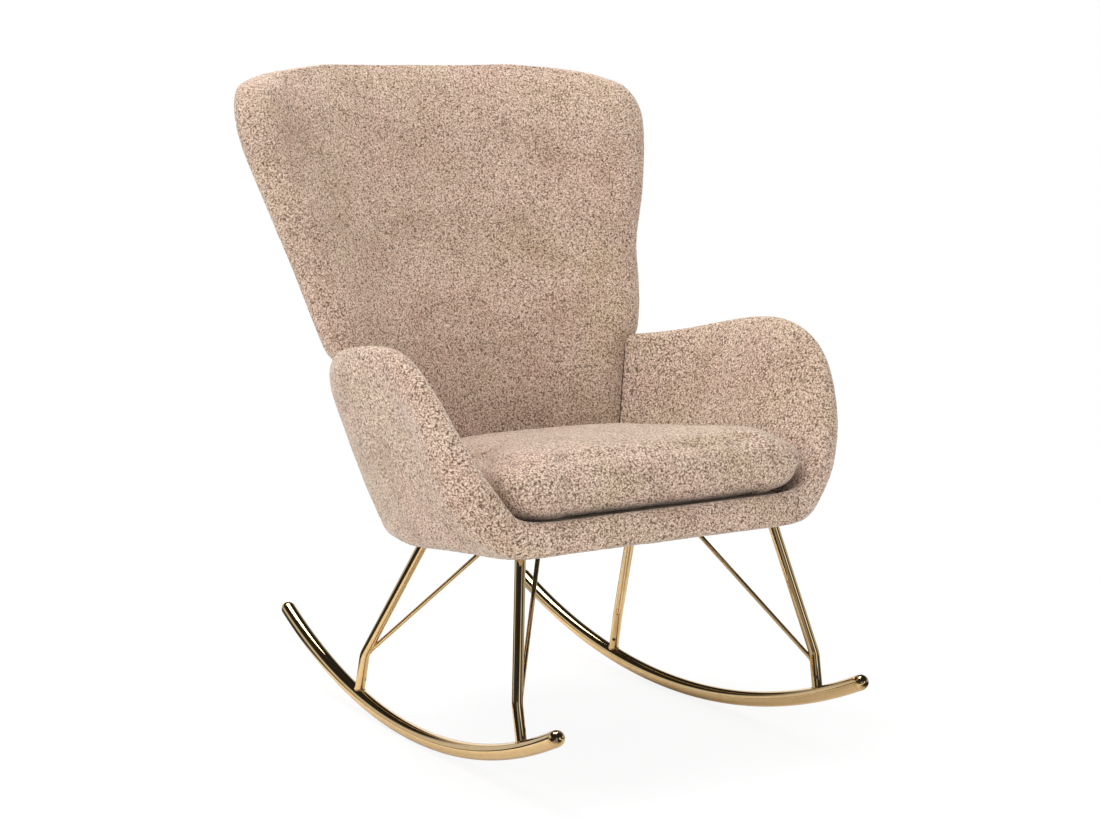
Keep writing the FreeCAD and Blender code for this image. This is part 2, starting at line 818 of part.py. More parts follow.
def shell_section(stations, index):
    """Closed outline of the stiff shell inside the wall, standing on the seat board."""
    outward, across, rimward = station_axes(stations, index)
    foot, rim = stations[index]
    thick = size("shell_thickness")
    inner_edge = size("shell_foam_inside") - size("wall_rim_radius")
    top = rim - rimward * size("shell_rim_depth") + across * inner_edge
    inner_foot = foot - outward * (size("wall_foot") - size("shell_foam_inside"))
    lift = board_top() / top.z
    base = inner_foot + (top - inner_foot) * lift
    corners = (base, base + outward * thick, top + outward * thick, top)
    return wire_of([line(corners[k - 1], corners[k]) for k in range(len(corners))])


def both_halves(sections):
    """Solid lofted through the sections of the right half, joined to its mirror image."""
    half = Part.makeLoft(sections, True, True)
    other = half.mirror(Vector(0, 0, 0), Vector(1, 0, 0))
    return half.fuse(other)


def wall_solid(swell):
    stations = tub_stations()
    sections = [wall_section(stations, index, swell) for index in range(len(stations))]
    return both_halves(sections)


def shell_solid():
    stations = tub_stations()
    indices = range(SHELL_FIRST_STATION * STATION_STEPS, len(stations))
    return both_halves([shell_section(stations, index) for index in indices])


def prism(curves, start, height):
    face = Part.Face(wire_of(curves))
    face.translate(Vector(0, 0, start))
    return face.extrude(Vector(0, 0, height))


def build_tub():
    wall = wall_solid(0)
    shell = shell_solid()
    recess = prism(seat_outline(-size("soft_clearance")), -size("overrun"),
                   size("overrun") + board_top())
    padding = wall.cut(recess).cut(shell)
    keep(feature_with(shell, "tub_shell_form", SEAT), "tub_shell")
    keep(feature_with(padding, "tub_form", SEAT), "tub_upholstery")
    return wall


# Back: a hollowed, winged pad on a moulded shell. Each row is one level: the rise, half
# width, setback of the wing edge, depth of the hollow and thickness, as shares of the back's
# top, half width, setback, hollow and thickness.
BACK_LEVEL_SHARES = (
    (0.031, 0.500, 0.494, 0.488, 0.833),
    (0.188, 0.632, 0.549, 0.640, 0.933),
    (0.305, 0.689, 0.601, 0.698, 0.967),
    (0.364, 0.716, 0.631, 0.721, 0.983),
    (0.397, 0.758, 0.639, 0.744, 1.000),
    (0.473, 0.800, 0.691, 0.791, 1.000),
    (0.583, 0.845, 0.803, 0.860, 1.000),
    (0.690, 0.913, 0.858, 0.930, 1.000),
    (0.800, 0.982, 0.940, 0.988, 1.000),
    (0.881, 1.000, 1.000, 1.000, 0.967),
    (0.938, 0.966, 1.090, 0.919, 0.850),
    (0.967, 0.882, 1.180, 0.721, 0.700),
    (0.987, 0.711, 1.275, 0.500, 0.500),
    (1.000, 0.474, 1.386, 0.233, 0.200),
)
SHELL_LEVELS = 10
HOLLOW_LEVELS = 9
LEVEL_STEPS = 2


def crescent(level, half, setback, hollow, thick, margin=0.0):
    """Closed plan of the back at one level: hollow front, rounded wing edges, full rear."""
    radius = thick / 2
    reach = half - margin - radius
    turn = math.atan2(2 * hollow * reach, half ** 2)
    lean = math.radians(RIM_ARC_ANGLE)
    along = setback + hollow * (1 - (reach / (half - radius)) ** 2)
    edge = Vector(reach, along, level)
    tangent = Vector(math.cos(turn), -math.sin(turn), 0)
    rearward = Vector(math.sin(turn), math.cos(turn), 0)
    tip = edge + tangent * radius
    front = edge + tangent * (radius * math.cos(lean)) - rearward * (radius * math.sin(lean))
    rear = edge + tangent * (radius * math.cos(lean)) + rearward * (radius * math.sin(lean))
    middle = setback + hollow
    front_middle = Vector(0, middle - radius, level)
    rear_middle = Vector(0, middle + radius, level)
    return wire_of([
        arc(mirrored(front), front_middle, front),
        arc(front, tip, rear),
        arc(rear, rear_middle, mirrored(rear)),
        arc(mirrored(rear), mirrored(tip), mirrored(front)),
    ])


def back_levels():
    top = size("back_top")
    half = size("back_half_width")
    setback = size("back_setback")
    hollow = size("back_hollow")
    thick = size("back_thickness")
    return [
        (a * top, b * half, c * setback, d * hollow, e * thick)
        for a, b, c, d, e in eased(BACK_LEVEL_SHARES, LEVEL_STEPS)
    ]


def board_space():
    """Space taken by everything up to the top of the seat board, under the back's foot."""
    depth = size("overrun")
    return prism(seat_outline(-size("wall_foot")), -depth, depth + board_top())


def strap_space():
    """Space of the lengthwise straps where they end on the board, in front of the back."""
    half = LENGTHWISE_STRAP_SHARES[-1] * size("board_opening_half_width") + size("strap_width") / 2
    gap = size("soft_clearance")
    front = size("board_opening_front")
    run = size("board_opening_rear") + size("strap_lap") + gap - front
    corner = Vector(-half - gap, front, board_top() - gap)
    return Part.makeBox(2 * (half + gap), run, size("strap_thickness") + 2 * gap, corner)


def back_hollow_form(levels):
    """Hollow between the back's shell and the thin padding over its rear."""
    front = size("back_shell_thickness") / 2
    margin = size("back_hollow_margin")
    sections = []
    for rise, half, setback, hollow, thick in levels[:HOLLOW_LEVELS * LEVEL_STEPS]:
        rear = thick / 2 - size("back_rear_padding")
        shift = (front + rear) / 2 - front / 2
        sections.append(crescent(rise, half, setback + shift, hollow, rear, margin))
    return Part.makeLoft(sections, True, True)


def bracket_solid(side, low, high):
    """Bent strip: one leaf lies on the board, the other is let into the rear of the shell."""
    thick = size("bracket_thickness")
    width = size("bracket_width")
    climb = high - low
    lean = math.degrees(math.atan2(climb.y, climb.z))
    low = Vector(low.x, low.y, board_top())
    corner = Vector(-width / 2, -size("bracket_sink"), 0)
    leaf = Part.makeBox(width, size("bracket_foot"), thick, corner)
    leaf.translate(low)
    upright = Part.makeBox(width, thick, size("bracket_rise"), corner)
    upright.rotate(Vector(0, 0, 0), Vector(1, 0, 0), -lean)
    upright.translate(low)
    strip = leaf.fuse(upright)
    strip.rotate(low, Vector(0, 0, 1), -side * size("bracket_turn"))
    return strip


def build_back(wall):
    levels = back_levels()
    blank = Part.makeLoft([crescent(*level) for level in levels], True, True)
    thin = size("back_shell_thickness")
    margin = size("back_shell_margin")
    shell = Part.makeLoft(
        [crescent(rise, half, setback, hollow, thin, margin)
         for rise, half, setback, hollow, thick in levels[:SHELL_LEVELS * LEVEL_STEPS]],
        True, True,
    )
    floor = board_space()
    shell = largest(shell.cut(floor).cut(wall))
    padding = blank.cut(floor).cut(wall).cut(strap_space()).cut(shell).cut(back_hollow_form(levels))
    for word, side in SIDES:
        low = shell_rear_at(shell, side, board_top() + size("bracket_thickness"))
        high = shell_rear_at(shell, side, board_top() + size("bracket_rise"))
        bracket = bracket_solid(side, low, high).cut(floor)
        shell = largest(shell.cut(bracket))
        padding = largest(padding.cut(bracket))
        keep(feature_with(bracket, "bracket_form_" + word, SEAT), "back_bracket_" + word)
    keep(feature_with(shell, "back_shell_form", SEAT), "back_shell")
    keep(feature_with(largest(padding), "back_form", SEAT), "back_upholstery")


def shell_rear_at(shell, side, rise):
    """Point on the rear face of the back's shell, at the brackets' distance from the middle."""
    across = side * size("bracket_side")
    reach = size("tub_half_depth")
    probe = Part.LineSegment(Vector(across, 0, rise), Vector(across, reach, rise)).toShape()
    return Vector(across, probe.common(shell).BoundBox.YMax, rise)


def largest(shape):
    """The main solid of a cut, without slivers that the cut left apart."""
    return max(shape.Solids, key=lambda solid: solid.Volume)


# Seat cushion: crowned, with drawn-in edges. The plan's corners are shares of the cushion's
# half width and, forward and rearward of its middle, of its half length.
CUSHION_PLAN_SHARES = (
    (0.700, -1.000),
    (0.950, -0.912),
    (1.000, -0.715),
    (0.925, -0.350),
    (0.855, 0.504),
    (0.770, 0.770),
    (0.570, 0.895),
)
# Levels of the cushion: the rise as a share of its thickness, and how far the plan is drawn
# in, as a share of its half width.
CUSHION_LEVEL_SHARES = (
    (0.000, 0.115),
    (0.120, 0.070),
    (0.300, 0.030),
    (0.480, 0.000),
    (0.660, 0.024),
    (0.800, 0.090),
    (0.920, 0.260),
    (1.000, 0.520),
)
CUSHION_STEPS = 1


def cushion_plan(draw, rise, inset):
    """Closed plan of the cushion at one level, drawn in by a share and inset by a length."""
    half = size("cushion_half_width")
    length = (size("cushion_rear") - size("cushion_front")) / 2
    centre = (size("cushion_rear") + size("cushion_front")) / 2
    across = half * (1 - draw) - inset
    along = length * (1 - draw * half / length) - inset
    points = [Vector(x * across, centre + y * along, rise) for x, y in CUSHION_PLAN_SHARES]
    front, shoulder, front_side, waist, rear_side, haunch, rear = points
    middle = Vector(0, centre + along, rise)
    right = [
        arc(front, shoulder, front_side),
        line(front_side, waist),
        line(waist, rear_side),
        arc(rear_side, haunch, rear),
    ]
    left = [
        arc(mirrored(rear), mirrored(haunch), mirrored(rear_side)),
        line(mirrored(rear_side), mirrored(waist)),
        line(mirrored(waist), mirrored(front_side)),
        arc(mirrored(front_side), mirrored(shoulder), mirrored(front)),
    ]
    return wire_of(right + [arc(rear, middle, mirrored(rear))] + left + [line(mirrored(front), front)])


def cushion_bottom():
    return size("deck_top") + size("soft_clearance")


def cushion_solid(inset):
    bottom = cushion_bottom() + inset
    thick = size("cushion_thickness") - 2 * inset
    levels = eased(CUSHION_LEVEL_SHARES, CUSHION_STEPS)
    sections = [cushion_plan(draw, bottom + rise * thick, inset) for rise, draw in levels]
    return Part.makeLoft(sections, True, True)


def build_cushion():
    outside = cushion_solid(0)
    foam = cushion_solid(size("cover_thickness"))
    length = size("zip_length")
    start = Vector(-length / 2, 0, cushion_bottom() + size("zip_rise"))
    window = Part.makeBox(length, size("cushion_rear") + size("overrun"), size("zip_height"), start)
    cover = outside.cut(foam)
    closure = cover.common(window)
    keep(feature_with(cover.cut(window), "cushion_cover_form", SEAT), "seat_cushion_cover")
    keep(feature_with(foam, "cushion_foam_form", SEAT), "seat_cushion_foam")
    keep(feature_with(closure, "cushion_zip_form", SEAT), "seat_cushion_zip")


def build_chair():
    above = seat_envelope("above_seat_underside")
    for word, side in SIDES:
        build_rocker("rocker_" + word, side)
        ring = rocker_envelope("rocker_envelope_" + word, side)
        for kind in ("front", "rear"):
            angle = size(kind + "_foot_angle")
            blank, bend, along = build_leg(f"leg_{kind}_{word}", side, angle, kind, ring, above)
            build_brace(f"brace_{kind}_{word}", side, kind, blank, bend, along, above)
    build_caps()
    build_underframe()
    build_dust_cover()
    build_seat_board()
    build_fasteners()
    build_webbing()
    deck = build_deck_block()
    wall = build_tub()
    keep(cut_of(deck, feature_with(wall, "wall_form", SEAT), "deck_trimmed"), "deck_foam")
    build_back(wall)
    build_cushion()


def check_and_write():
    doc.recompute()
    faults = [obj.Name for obj in doc.Objects if {"Invalid", "Error"} & set(obj.State)]
    for obj in nodes:
        if obj.Shape.isNull() or not obj.Shape.isValid():
            faults.append(obj.Label)
    if faults:
        raise RuntimeError("failed objects: " + ", ".join(faults))
    for obj in nodes:
        obj.Shape.exportStep(f"parts/{obj.Label}.step")
        print(obj.Label, len(obj.Shape.Solids), round(obj.Shape.Volume))


build_chair()
check_and_write()
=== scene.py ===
import itertools
import math

import bmesh
import bpy
import numpy as np
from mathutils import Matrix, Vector
from mathutils.bvhtree import BVHTree


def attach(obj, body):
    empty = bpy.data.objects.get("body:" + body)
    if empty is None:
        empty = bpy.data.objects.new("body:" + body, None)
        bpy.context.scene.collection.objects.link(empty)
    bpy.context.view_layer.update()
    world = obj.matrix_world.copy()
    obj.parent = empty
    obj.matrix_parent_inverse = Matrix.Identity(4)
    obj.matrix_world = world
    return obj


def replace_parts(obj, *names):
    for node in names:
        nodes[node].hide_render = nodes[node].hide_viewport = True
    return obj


# Looks of the rocking armchair: curly fabric over a padded tub, a winged back and a loose
# cushion, on a gold-plated tube base. Soft forms are worked out in millimetres in the seat's
# own tilted frame, tubes in millimetres in the row frame. Meshes are in metres.

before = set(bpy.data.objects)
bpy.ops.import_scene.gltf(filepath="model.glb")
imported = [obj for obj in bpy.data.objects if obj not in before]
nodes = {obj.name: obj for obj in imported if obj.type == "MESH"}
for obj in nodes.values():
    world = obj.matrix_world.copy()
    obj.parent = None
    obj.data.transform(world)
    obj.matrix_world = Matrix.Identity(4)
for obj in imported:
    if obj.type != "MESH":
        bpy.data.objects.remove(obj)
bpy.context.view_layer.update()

MM = 0.001
SEAT_RISE = 301.0
SEAT_TILT = math.radians(5.7)
SEAT_COS, SEAT_SIN = math.cos(SEAT_TILT), math.sin(SEAT_TILT)
CHAIR = "chair"
CUSHION = "cushion"
SIDES = (("left", -1), ("right", 1))
MIRROR = np.array([-1, 1])
MIRROR_3D = np.array([-1, 1, 1])


# Frames and lines

def seat_to_row(points):
    """Seat-frame millimetres to row-frame metres."""
    points = np.asarray(points, float)
    x, y, z = points[..., 0], points[..., 1], points[..., 2]
    return np.stack([x, y * SEAT_COS + z * SEAT_SIN, SEAT_RISE - y * SEAT_SIN + z * SEAT_COS], -1) * MM


def row_to_seat(points):
    """Row-frame metres to seat-frame millimetres."""
    points = np.asarray(points, float) / MM
    x, y, z = points[..., 0], points[..., 1], points[..., 2] - SEAT_RISE
    return np.stack([x, y * SEAT_COS - z * SEAT_SIN, y * SEAT_SIN + z * SEAT_COS], -1)


def row_way(heading):
    """Row-frame direction of a seat-frame heading."""
    return Vector(seat_to_row(heading) - seat_to_row((0, 0, 0))).normalized()


def unit(vectors):
    length = np.linalg.norm(vectors, axis=-1, keepdims=True)
    return vectors / np.maximum(length, 1e-12)


def fade(gap, width):
    """Rises from 0 to 1 as a gap grows from 0 to a width."""
    return np.clip(gap / width, 0, 1)


def round_angles(count):
    return np.linspace(0, 2 * math.pi, count, endpoint=False)


def run_of(points):
    """Length along a polyline up to each of its points."""
    return np.concatenate([[0], np.cumsum(np.linalg.norm(np.diff(points, axis=0), axis=1))])


def resample(points, count, closed=False):
    """Points at equal steps along a polyline."""
    points = np.asarray(points, float)
    if closed:
        points = np.vstack([points, points[:1]])
    run = run_of(points)
    want = np.linspace(0, run[-1], count + 1)[:-1] if closed else np.linspace(0, run[-1], count)
    return np.stack([np.interp(want, run, points[:, k]) for k in range(points.shape[1])], -1)


def blur(values, spread, axis=0):
    """Gaussian blur of a closed run of points along one axis, the spread given in points."""
    reach = int(math.ceil(3 * spread))
    weights = np.exp(-0.5 * (np.arange(-reach, reach + 1) / spread) ** 2)
    weights /= weights.sum()
    return sum(w * np.roll(values, k, axis) for k, w in zip(range(-reach, reach + 1), weights))


def ease(line, rounds):
    """Evens out a line of points whose ends are held."""
    for _ in range(rounds):
        line[1:-1] = (line[:-2] + 2 * line[1:-1] + line[2:]) / 4
    return line


def arc_through(first, middle, last, count):
    """Points on the circular arc through three points in a plane, ends included."""
    first, middle, last = (np.asarray(p, float) for p in (first, middle, last))
    chord = last - first
    length = np.linalg.norm(chord)
    along = chord / length
    lift = (middle - first) - along * np.dot(middle - first, along)
    sagitta = np.linalg.norm(lift)
    share = np.linspace(0, 1, count)
    if sagitta < 1e-6 * length:
        return first + share[:, None] * chord
    up = lift / sagitta
    mx, my = np.dot(middle - first, along), sagitta
    centre_x = length / 2
    centre_y = (mx ** 2 + my ** 2 - length * mx) / (2 * my)
    radius = math.hypot(centre_x, centre_y)
    start = math.atan2(-centre_y, -centre_x)
    through = math.atan2(my - centre_y, mx - centre_x)
    end = math.atan2(-centre_y, length - centre_x)
    span = (end - start) % (2 * math.pi)
    if (through - start) % (2 * math.pi) > span:
        span -= 2 * math.pi
    angle = start + share * span
    x = centre_x + radius * np.cos(angle)
    y = centre_y + radius * np.sin(angle)
    return first + x[:, None] * along + y[:, None] * up


def spline_rows(rows, where, before, after):
    """Values on a smooth curve through the rows of a table, at positions counted in rows."""
    knots = np.array([before, *rows, after], float)
    where = np.clip(np.asarray(where, float), 0, len(rows) - 1 - 1e-9)
    index = np.floor(where).astype(int)
    share = (where - index)[:, None]
    first, second, third, fourth = (knots[index + k] for k in range(4))
    slope_in, slope_out, rise = (third - first) / 2, (fourth - second) / 2, third - second
    bend = 3 * rise - 2 * slope_in - slope_out
    twist = slope_in + slope_out - 2 * rise
    return second + share * (slope_in + share * (bend + share * twist))


# Repeatable noise over space

HASH_MASK = np.uint64(0xFFFFFFFF)
HASH_STEPS = (73856093, 19349663, 83492791)
HASH_SEED = 2654435
HASH_MIXES = ((13, 1274126177), (16, 668265263))
HASH_LAST_SHIFT = 15


def lattice(cells, seed):
    """Pseudo-random value from -1 to 1 for each whole-number cell corner."""
    value = seed * HASH_SEED
    with np.errstate(over="ignore"):
        for axis, step in enumerate(HASH_STEPS):
            value = value ^ (cells[:, axis] * step)
        value = value.astype(np.uint64) & HASH_MASK
        for shift, factor in HASH_MIXES:
            value = ((value ^ (value >> np.uint64(shift))) * np.uint64(factor)) & HASH_MASK
    return (value ^ (value >> np.uint64(HASH_LAST_SHIFT))).astype(float) / float(HASH_MASK) * 2 - 1


def noise(points, cell, seed):
    """Smooth noise from -1 to 1 whose bumps are about one cell wide."""
    scaled = np.asarray(points, float) / cell
    base = np.floor(scaled)
    part = scaled - base
    part = part * part * (3 - 2 * part)
    base = base.astype(np.int64)
    total = 0
    for corner in itertools.product((0, 1), repeat=3):
        wx, wy, wz = (part[:, k] if far else 1 - part[:, k] for k, far in enumerate(corner))
        total = total + wx * wy * wz * lattice(base + corner, seed)
    return total


# Meshes

def link_object(name, data):
    obj = bpy.data.objects.new(name, data)
    bpy.context.scene.collection.objects.link(obj)
    return obj


def new_object(name, points, faces):
    """Smooth-shaded mesh object from row-frame points in metres."""
    mesh = bpy.data.meshes.new(name)
    mesh.from_pydata([tuple(p) for p in np.asarray(points, float)], [], [tuple(f) for f in faces])
    mesh.validate()
    mesh.shade_smooth()
    return link_object(name, mesh)


def finish_piece(obj, body, material, stands_for=()):
    obj.data.materials.clear()
    obj.data.materials.append(material)
    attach(obj, body)
    if stands_for:
        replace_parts(obj, *stands_for)
    return obj


def grid_faces(rows, columns, close_rows=False, close_columns=False):
    """Quads of a grid of points, wrapped round in either direction."""
    last_row = rows if close_rows else rows - 1
    last_column = columns if close_columns else columns - 1
    i, j = np.meshgrid(np.arange(last_row), np.arange(last_column), indexing="ij")
    right, down = (j + 1) % columns, (i + 1) % rows
    quads = np.stack([i * columns + j, i * columns + right, down * columns + right, down * columns + j], -1)
    return quads.reshape(-1, 4)


def tube_faces(rows, columns, closed=False, start=0):
    """Faces of a tube of rings, with end faces unless its last ring meets its first."""
    faces = [tuple(f) for f in grid_faces(rows, columns, closed, True) + start]
    if not closed:
        last = start + (rows - 1) * columns
        faces.append(tuple(range(start, start + columns))[::-1])
        faces.append(tuple(range(last, last + columns)))
    return faces


def turn_outward(obj):
    """Face normals of a closed mesh point out of it."""
    work = bmesh.new()
    work.from_mesh(obj.data)
    bmesh.ops.recalc_face_normals(work, faces=work.faces)
    work.to_mesh(obj.data)
    work.free()


def slab_object(name, first, second):
    """Thin closed sheet between two grids of seat-frame points."""
    rows, columns = first.shape[:2]
    count = rows * columns
    grid = grid_faces(rows, columns)
    faces = [*map(tuple, grid)] + [tuple(f[::-1] + count) for f in grid]
    rim = [*range(columns), *((r + 1) * columns - 1 for r in range(1, rows)),
           *((rows - 1) * columns + c for c in range(columns - 2, -1, -1)),
           *(r * columns for r in range(rows - 2, 0, -1))]
    faces += [(a, b, b + count, a + count) for a, b in zip(rim, rim[1:] + rim[:1])]
    points = np.concatenate([first.reshape(-1, 3), second.reshape(-1, 3)])
    obj = new_object(name, seat_to_row(points), faces)
    turn_outward(obj)
    return obj


def join_tubes(name, tubes, material, body=CHAIR):
    """One object from several closed tubes given as rings of seat-frame points."""
    points, faces, start = [], [], 0
    for rings in tubes:
        rows, columns = rings.shape[:2]
        faces += tube_faces(rows, columns, start=start)
        points.append(rings.reshape(-1, 3))
        start += rows * columns
    obj = new_object(name, seat_to_row(np.concatenate(points)), faces)
    turn_outward(obj)
    obj.data.set_sharp_from_angle(angle=math.radians(40))
    return finish_piece(obj, body, material)


def apply_modifiers(obj):
    """Replaces an object's mesh by what its modifiers make of it."""
    graph = bpy.context.evaluated_depsgraph_get()
    made = bpy.data.meshes.new_from_object(obj.evaluated_get(graph))
    obj.modifiers.clear()
    obj.data = made


def read_points(obj):
    points = np.empty(len(obj.data.vertices) * 3, np.float32)
    obj.data.vertices.foreach_get("co", points)
    return points.reshape(-1, 3).astype(float)


def read_normals(obj):
    normals = np.empty(len(obj.data.vertices) * 3, np.float32)
    obj.data.vertex_normals.foreach_get("vector", normals)
    return normals.reshape(-1, 3).astype(float)


def write_points(obj, points):
    obj.data.vertices.foreach_set("co", np.asarray(points, np.float32).ravel())
    obj.data.update()


def remesh(obj, size):
    """Even quads of about one size over a closed form."""
    modifier = obj.modifiers.new("even", "REMESH")
    modifier.mode = "VOXEL"
    modifier.voxel_size = size
    modifier.use_smooth_shade = True
    apply_modifiers(obj)


def smooth_points(obj, rounds):
    modifier = obj.modifiers.new("ease", "SMOOTH")
    modifier.iterations = rounds
    modifier.factor = 0.5
    apply_modifiers(obj)


def subdivide(obj):
    divide = obj.modifiers.new("finer", "SUBSURF")
    divide.levels = 1
    divide.render_levels = 1
    apply_modifiers(obj)


def tree_of(obj):
    mesh = obj.data
    return BVHTree.FromPolygons([v.co for v in mesh.vertices], [tuple(f.vertices) for f in mesh.polygons])


def cast(tree, start, way):
    """Where a ray from a seat-frame point meets a surface, in row-frame metres, and its normal."""
    place, normal, index, distance = tree.ray_cast(Vector(seat_to_row(start)), way)
    return place, normal


def press_clear(obj, trees, gap):
    """Points that reach into another piece rest against its surface instead."""
    points = read_points(obj)
    for tree in trees:
        for number, point in enumerate(points):
            place, normal, index, distance = tree.find_nearest(Vector(point), 0.03)
            if place is None:
                continue
            if (Vector(point) - place).dot(normal) < gap:
                points[number] = place + normal * gap
    write_points(obj, points)


# Node materials

class Nodes:
    """Adds nodes to one node tree and joins them."""

    def __init__(self, tree):
        self.tree = tree

    def add(self, kind, **settings):
        node = self.tree.nodes.new(kind)
        for key, value in settings.items():
            if hasattr(node, key):
                setattr(node, key, value)
            else:
                node.inputs[key.replace("_", " ")].default_value = value
        return node

    def join(self, source, target):
        self.tree.links.new(source, target)

    def feed(self, socket, value):
        """Gives a socket a number, a colour or another node's output."""
        if isinstance(value, (int, float)):
            socket.default_value = value
        elif isinstance(value, tuple):
            socket.default_value = (*value, 1)
        else:
            self.join(value, socket)

    def math(self, operation, *values, clamp=False):
        node = self.add("ShaderNodeMath", operation=operation, use_clamp=clamp)
        for socket, value in zip(node.inputs, values):
            self.feed(socket, value)
        return node.outputs[0]

    def ramp(self, value, stops):
        """Colour ramp whose stops hold a place and a colour or grey level."""
        node = self.add("ShaderNodeValToRGB")
        elements = node.color_ramp.elements
        while len(elements) < len(stops):
            elements.new(0.5)
        for element, (place, level) in zip(elements, stops):
            element.position = place
            element.color = (*level, 1) if isinstance(level, tuple) else (level, level, level, 1)
        self.join(value, node.inputs["Fac"])
        return node.outputs["Color"]

    def mix_shaders(self, share, first, second):
        node = self.add("ShaderNodeMixShader")
        for socket, output in zip(node.inputs, (share, first, second)):
            self.join(output, socket)
        return node.outputs[0]

    def show(self, kind, output):
        """Joins a shader to the tree's output node."""
        self.join(output, next(n for n in self.tree.nodes if n.type == kind).inputs["Surface"])


class Shader(Nodes):
    """A new material with one principled surface."""

    def __init__(self, name):
        self.material = bpy.data.materials.new(name)
        self.material.use_nodes = True
        super().__init__(self.material.node_tree)
        self.surface = next(n for n in self.tree.nodes if n.type == "BSDF_PRINCIPLED")
        self.place = self.add("ShaderNodeTexCoord").outputs["Object"]

    def noise(self, scale, detail=2.0, rough=0.5, warp=0.0, vector=None):
        node = self.add("ShaderNodeTexNoise", Scale=scale, Detail=detail, Roughness=rough, Distortion=warp)
        self.join(vector or self.place, node.inputs["Vector"])
        return node.outputs["Fac"]

    def cells(self, scale, random=1.0, vector=None):
        node = self.add("ShaderNodeTexVoronoi", Scale=scale, Randomness=random)
        self.join(vector or self.place, node.inputs["Vector"])
        return node.outputs["Distance"]

    def span(self, value, low, high, to_low=0.0, to_high=1.0):
        node = self.add("ShaderNodeMapRange", From_Min=low, From_Max=high, To_Min=to_low, To_Max=to_high)
        self.join(value, node.inputs["Value"])
        return node.outputs["Result"]

    def mix(self, share, first, second, kind="MIX"):
        node = self.add("ShaderNodeMix", data_type="RGBA", blend_type=kind)
        for number, value in ((0, share), (6, first), (7, second)):
            self.feed(node.inputs[number], value)
        return node.outputs[2]

    def set(self, **values):
        for key, value in values.items():
            self.feed(self.surface.inputs[key.replace("_", " ")], value)

    def bump(self, height, strength, distance):
        node = self.add("ShaderNodeBump", Strength=strength, Distance=distance)
        self.join(height, node.inputs["Height"])
        self.join(node.outputs["Normal"], self.surface.inputs["Normal"])


# Tones of the pile by height, darkest low down: partly the fibres' own colour and partly painted shade
# between the curls.
CURL_TONES_AND_SHADE = (
    (0.00, (0.125, 0.082, 0.056)),
    (0.25, (0.270, 0.186, 0.134)),
    (0.50, (0.440, 0.318, 0.238)),
    (0.75, (0.570, 0.432, 0.334)),
    (1.00, (0.720, 0.585, 0.475)),
)
PATCH_TINTS = (
    (0.30, (0.97, 0.985, 0.92)),
    (0.50, (1.00, 1.00, 1.00)),
    (0.70, (1.00, 0.955, 0.965)),
)
NAP_TINTS = (
    (0.32, (0.90, 0.88, 0.86)),
    (0.50, (1.00, 1.00, 1.00)),
    (0.68, (1.04, 1.05, 1.06)),
)
CURL_MIDDLE = 0.76
CURL_SPREAD = 0.36


def curly_fabric(name, curls, contrast, shade):
    """Short looped pile: pale curl tips and darker brown between them, partly the pile's own colour and
    partly painted shade in the hollows; soft patches of pink and ochre.
    """
    s = Shader(name)
    warp = s.add("ShaderNodeTexNoise", Scale=210.0, Detail=1.0)
    s.join(s.place, warp.inputs["Vector"])
    shift = s.add("ShaderNodeVectorMath", operation="SCALE", Scale=0.0055)
    s.join(warp.outputs["Color"], shift.inputs[0])
    moved = s.add("ShaderNodeVectorMath", operation="ADD")
    s.join(s.place, moved.inputs[0])
    s.join(shift.outputs[0], moved.inputs[1])
    curl = s.math("SUBTRACT", 1.0, s.cells(curls, vector=moved.outputs[0]), clamp=True)
    loops = s.noise(curls * 0.85, 1.5, 0.45, 0.3)
    height = s.math("ADD", s.math("MULTIPLY", curl, 0.8), s.math("MULTIPLY", loops, 0.7))
    spread = CURL_SPREAD / contrast
    # Low places between the curls take the dark tones: partly fibre colour, partly painted shade.
    tone = s.span(height, CURL_MIDDLE - spread, CURL_MIDDLE + spread)
    body = s.ramp(tone, [(place, tuple(np.array(colour) * shade)) for place, colour in CURL_TONES_AND_SHADE])
    patch = s.ramp(s.noise(7.5, 3.0, 0.55), PATCH_TINTS)
    nap = s.ramp(s.noise(12.0, 2.0, 0.5), NAP_TINTS)
    colour = s.mix(1.0, s.mix(1.0, body, patch, "MULTIPLY"), nap, "MULTIPLY")
    s.set(Base_Color=colour, Roughness=0.95, Sheen_Weight=0.28, Sheen_Roughness=0.4,
          Sheen_Tint=(1.0, 0.96, 0.91), Specular_IOR_Level=0.15)
    s.bump(height, 0.7, 0.0011)
    return s.material


def mottled(name, grain, dark, light, tone, rough, metallic, relief, lumps=None):
    """Colour and roughness follow one noise, and the relief follows it or another."""
    s = Shader(name)
    mark = s.noise(*grain)
    height = s.noise(*lumps) if lumps else mark
    colour = s.mix(s.span(mark, *tone) if tone else mark, dark, light)
    s.set(Base_Color=colour, Metallic=metallic, Roughness=s.span(mark, *rough))
    s.bump(height, *relief)
    return s.material


def dark_thread():
    s = Shader("dark_thread")
    twist = s.noise(900.0, 2.0, 0.5)
    s.set(Base_Color=s.mix(twist, (0.045, 0.022, 0.012), (0.110, 0.060, 0.038)), Roughness=0.9)
    s.bump(twist, 0.5, 0.0004)
    return s.material


def bare_wood():
    s = Shader("plywood")
    stretch = s.add("ShaderNodeMapping", Scale=(2.0, 26.0, 140.0))
    s.join(s.place, stretch.inputs["Vector"])
    grain = s.noise(3.0, 5.0, 0.6, 0.8, stretch.outputs[0])
    colour = s.mix(s.span(grain, 0.3, 0.7), (0.42, 0.27, 0.14), (0.70, 0.53, 0.34))
    s.set(Base_Color=colour, Roughness=0.7)
    s.bump(grain, 0.3, 0.0006)
    return s.material


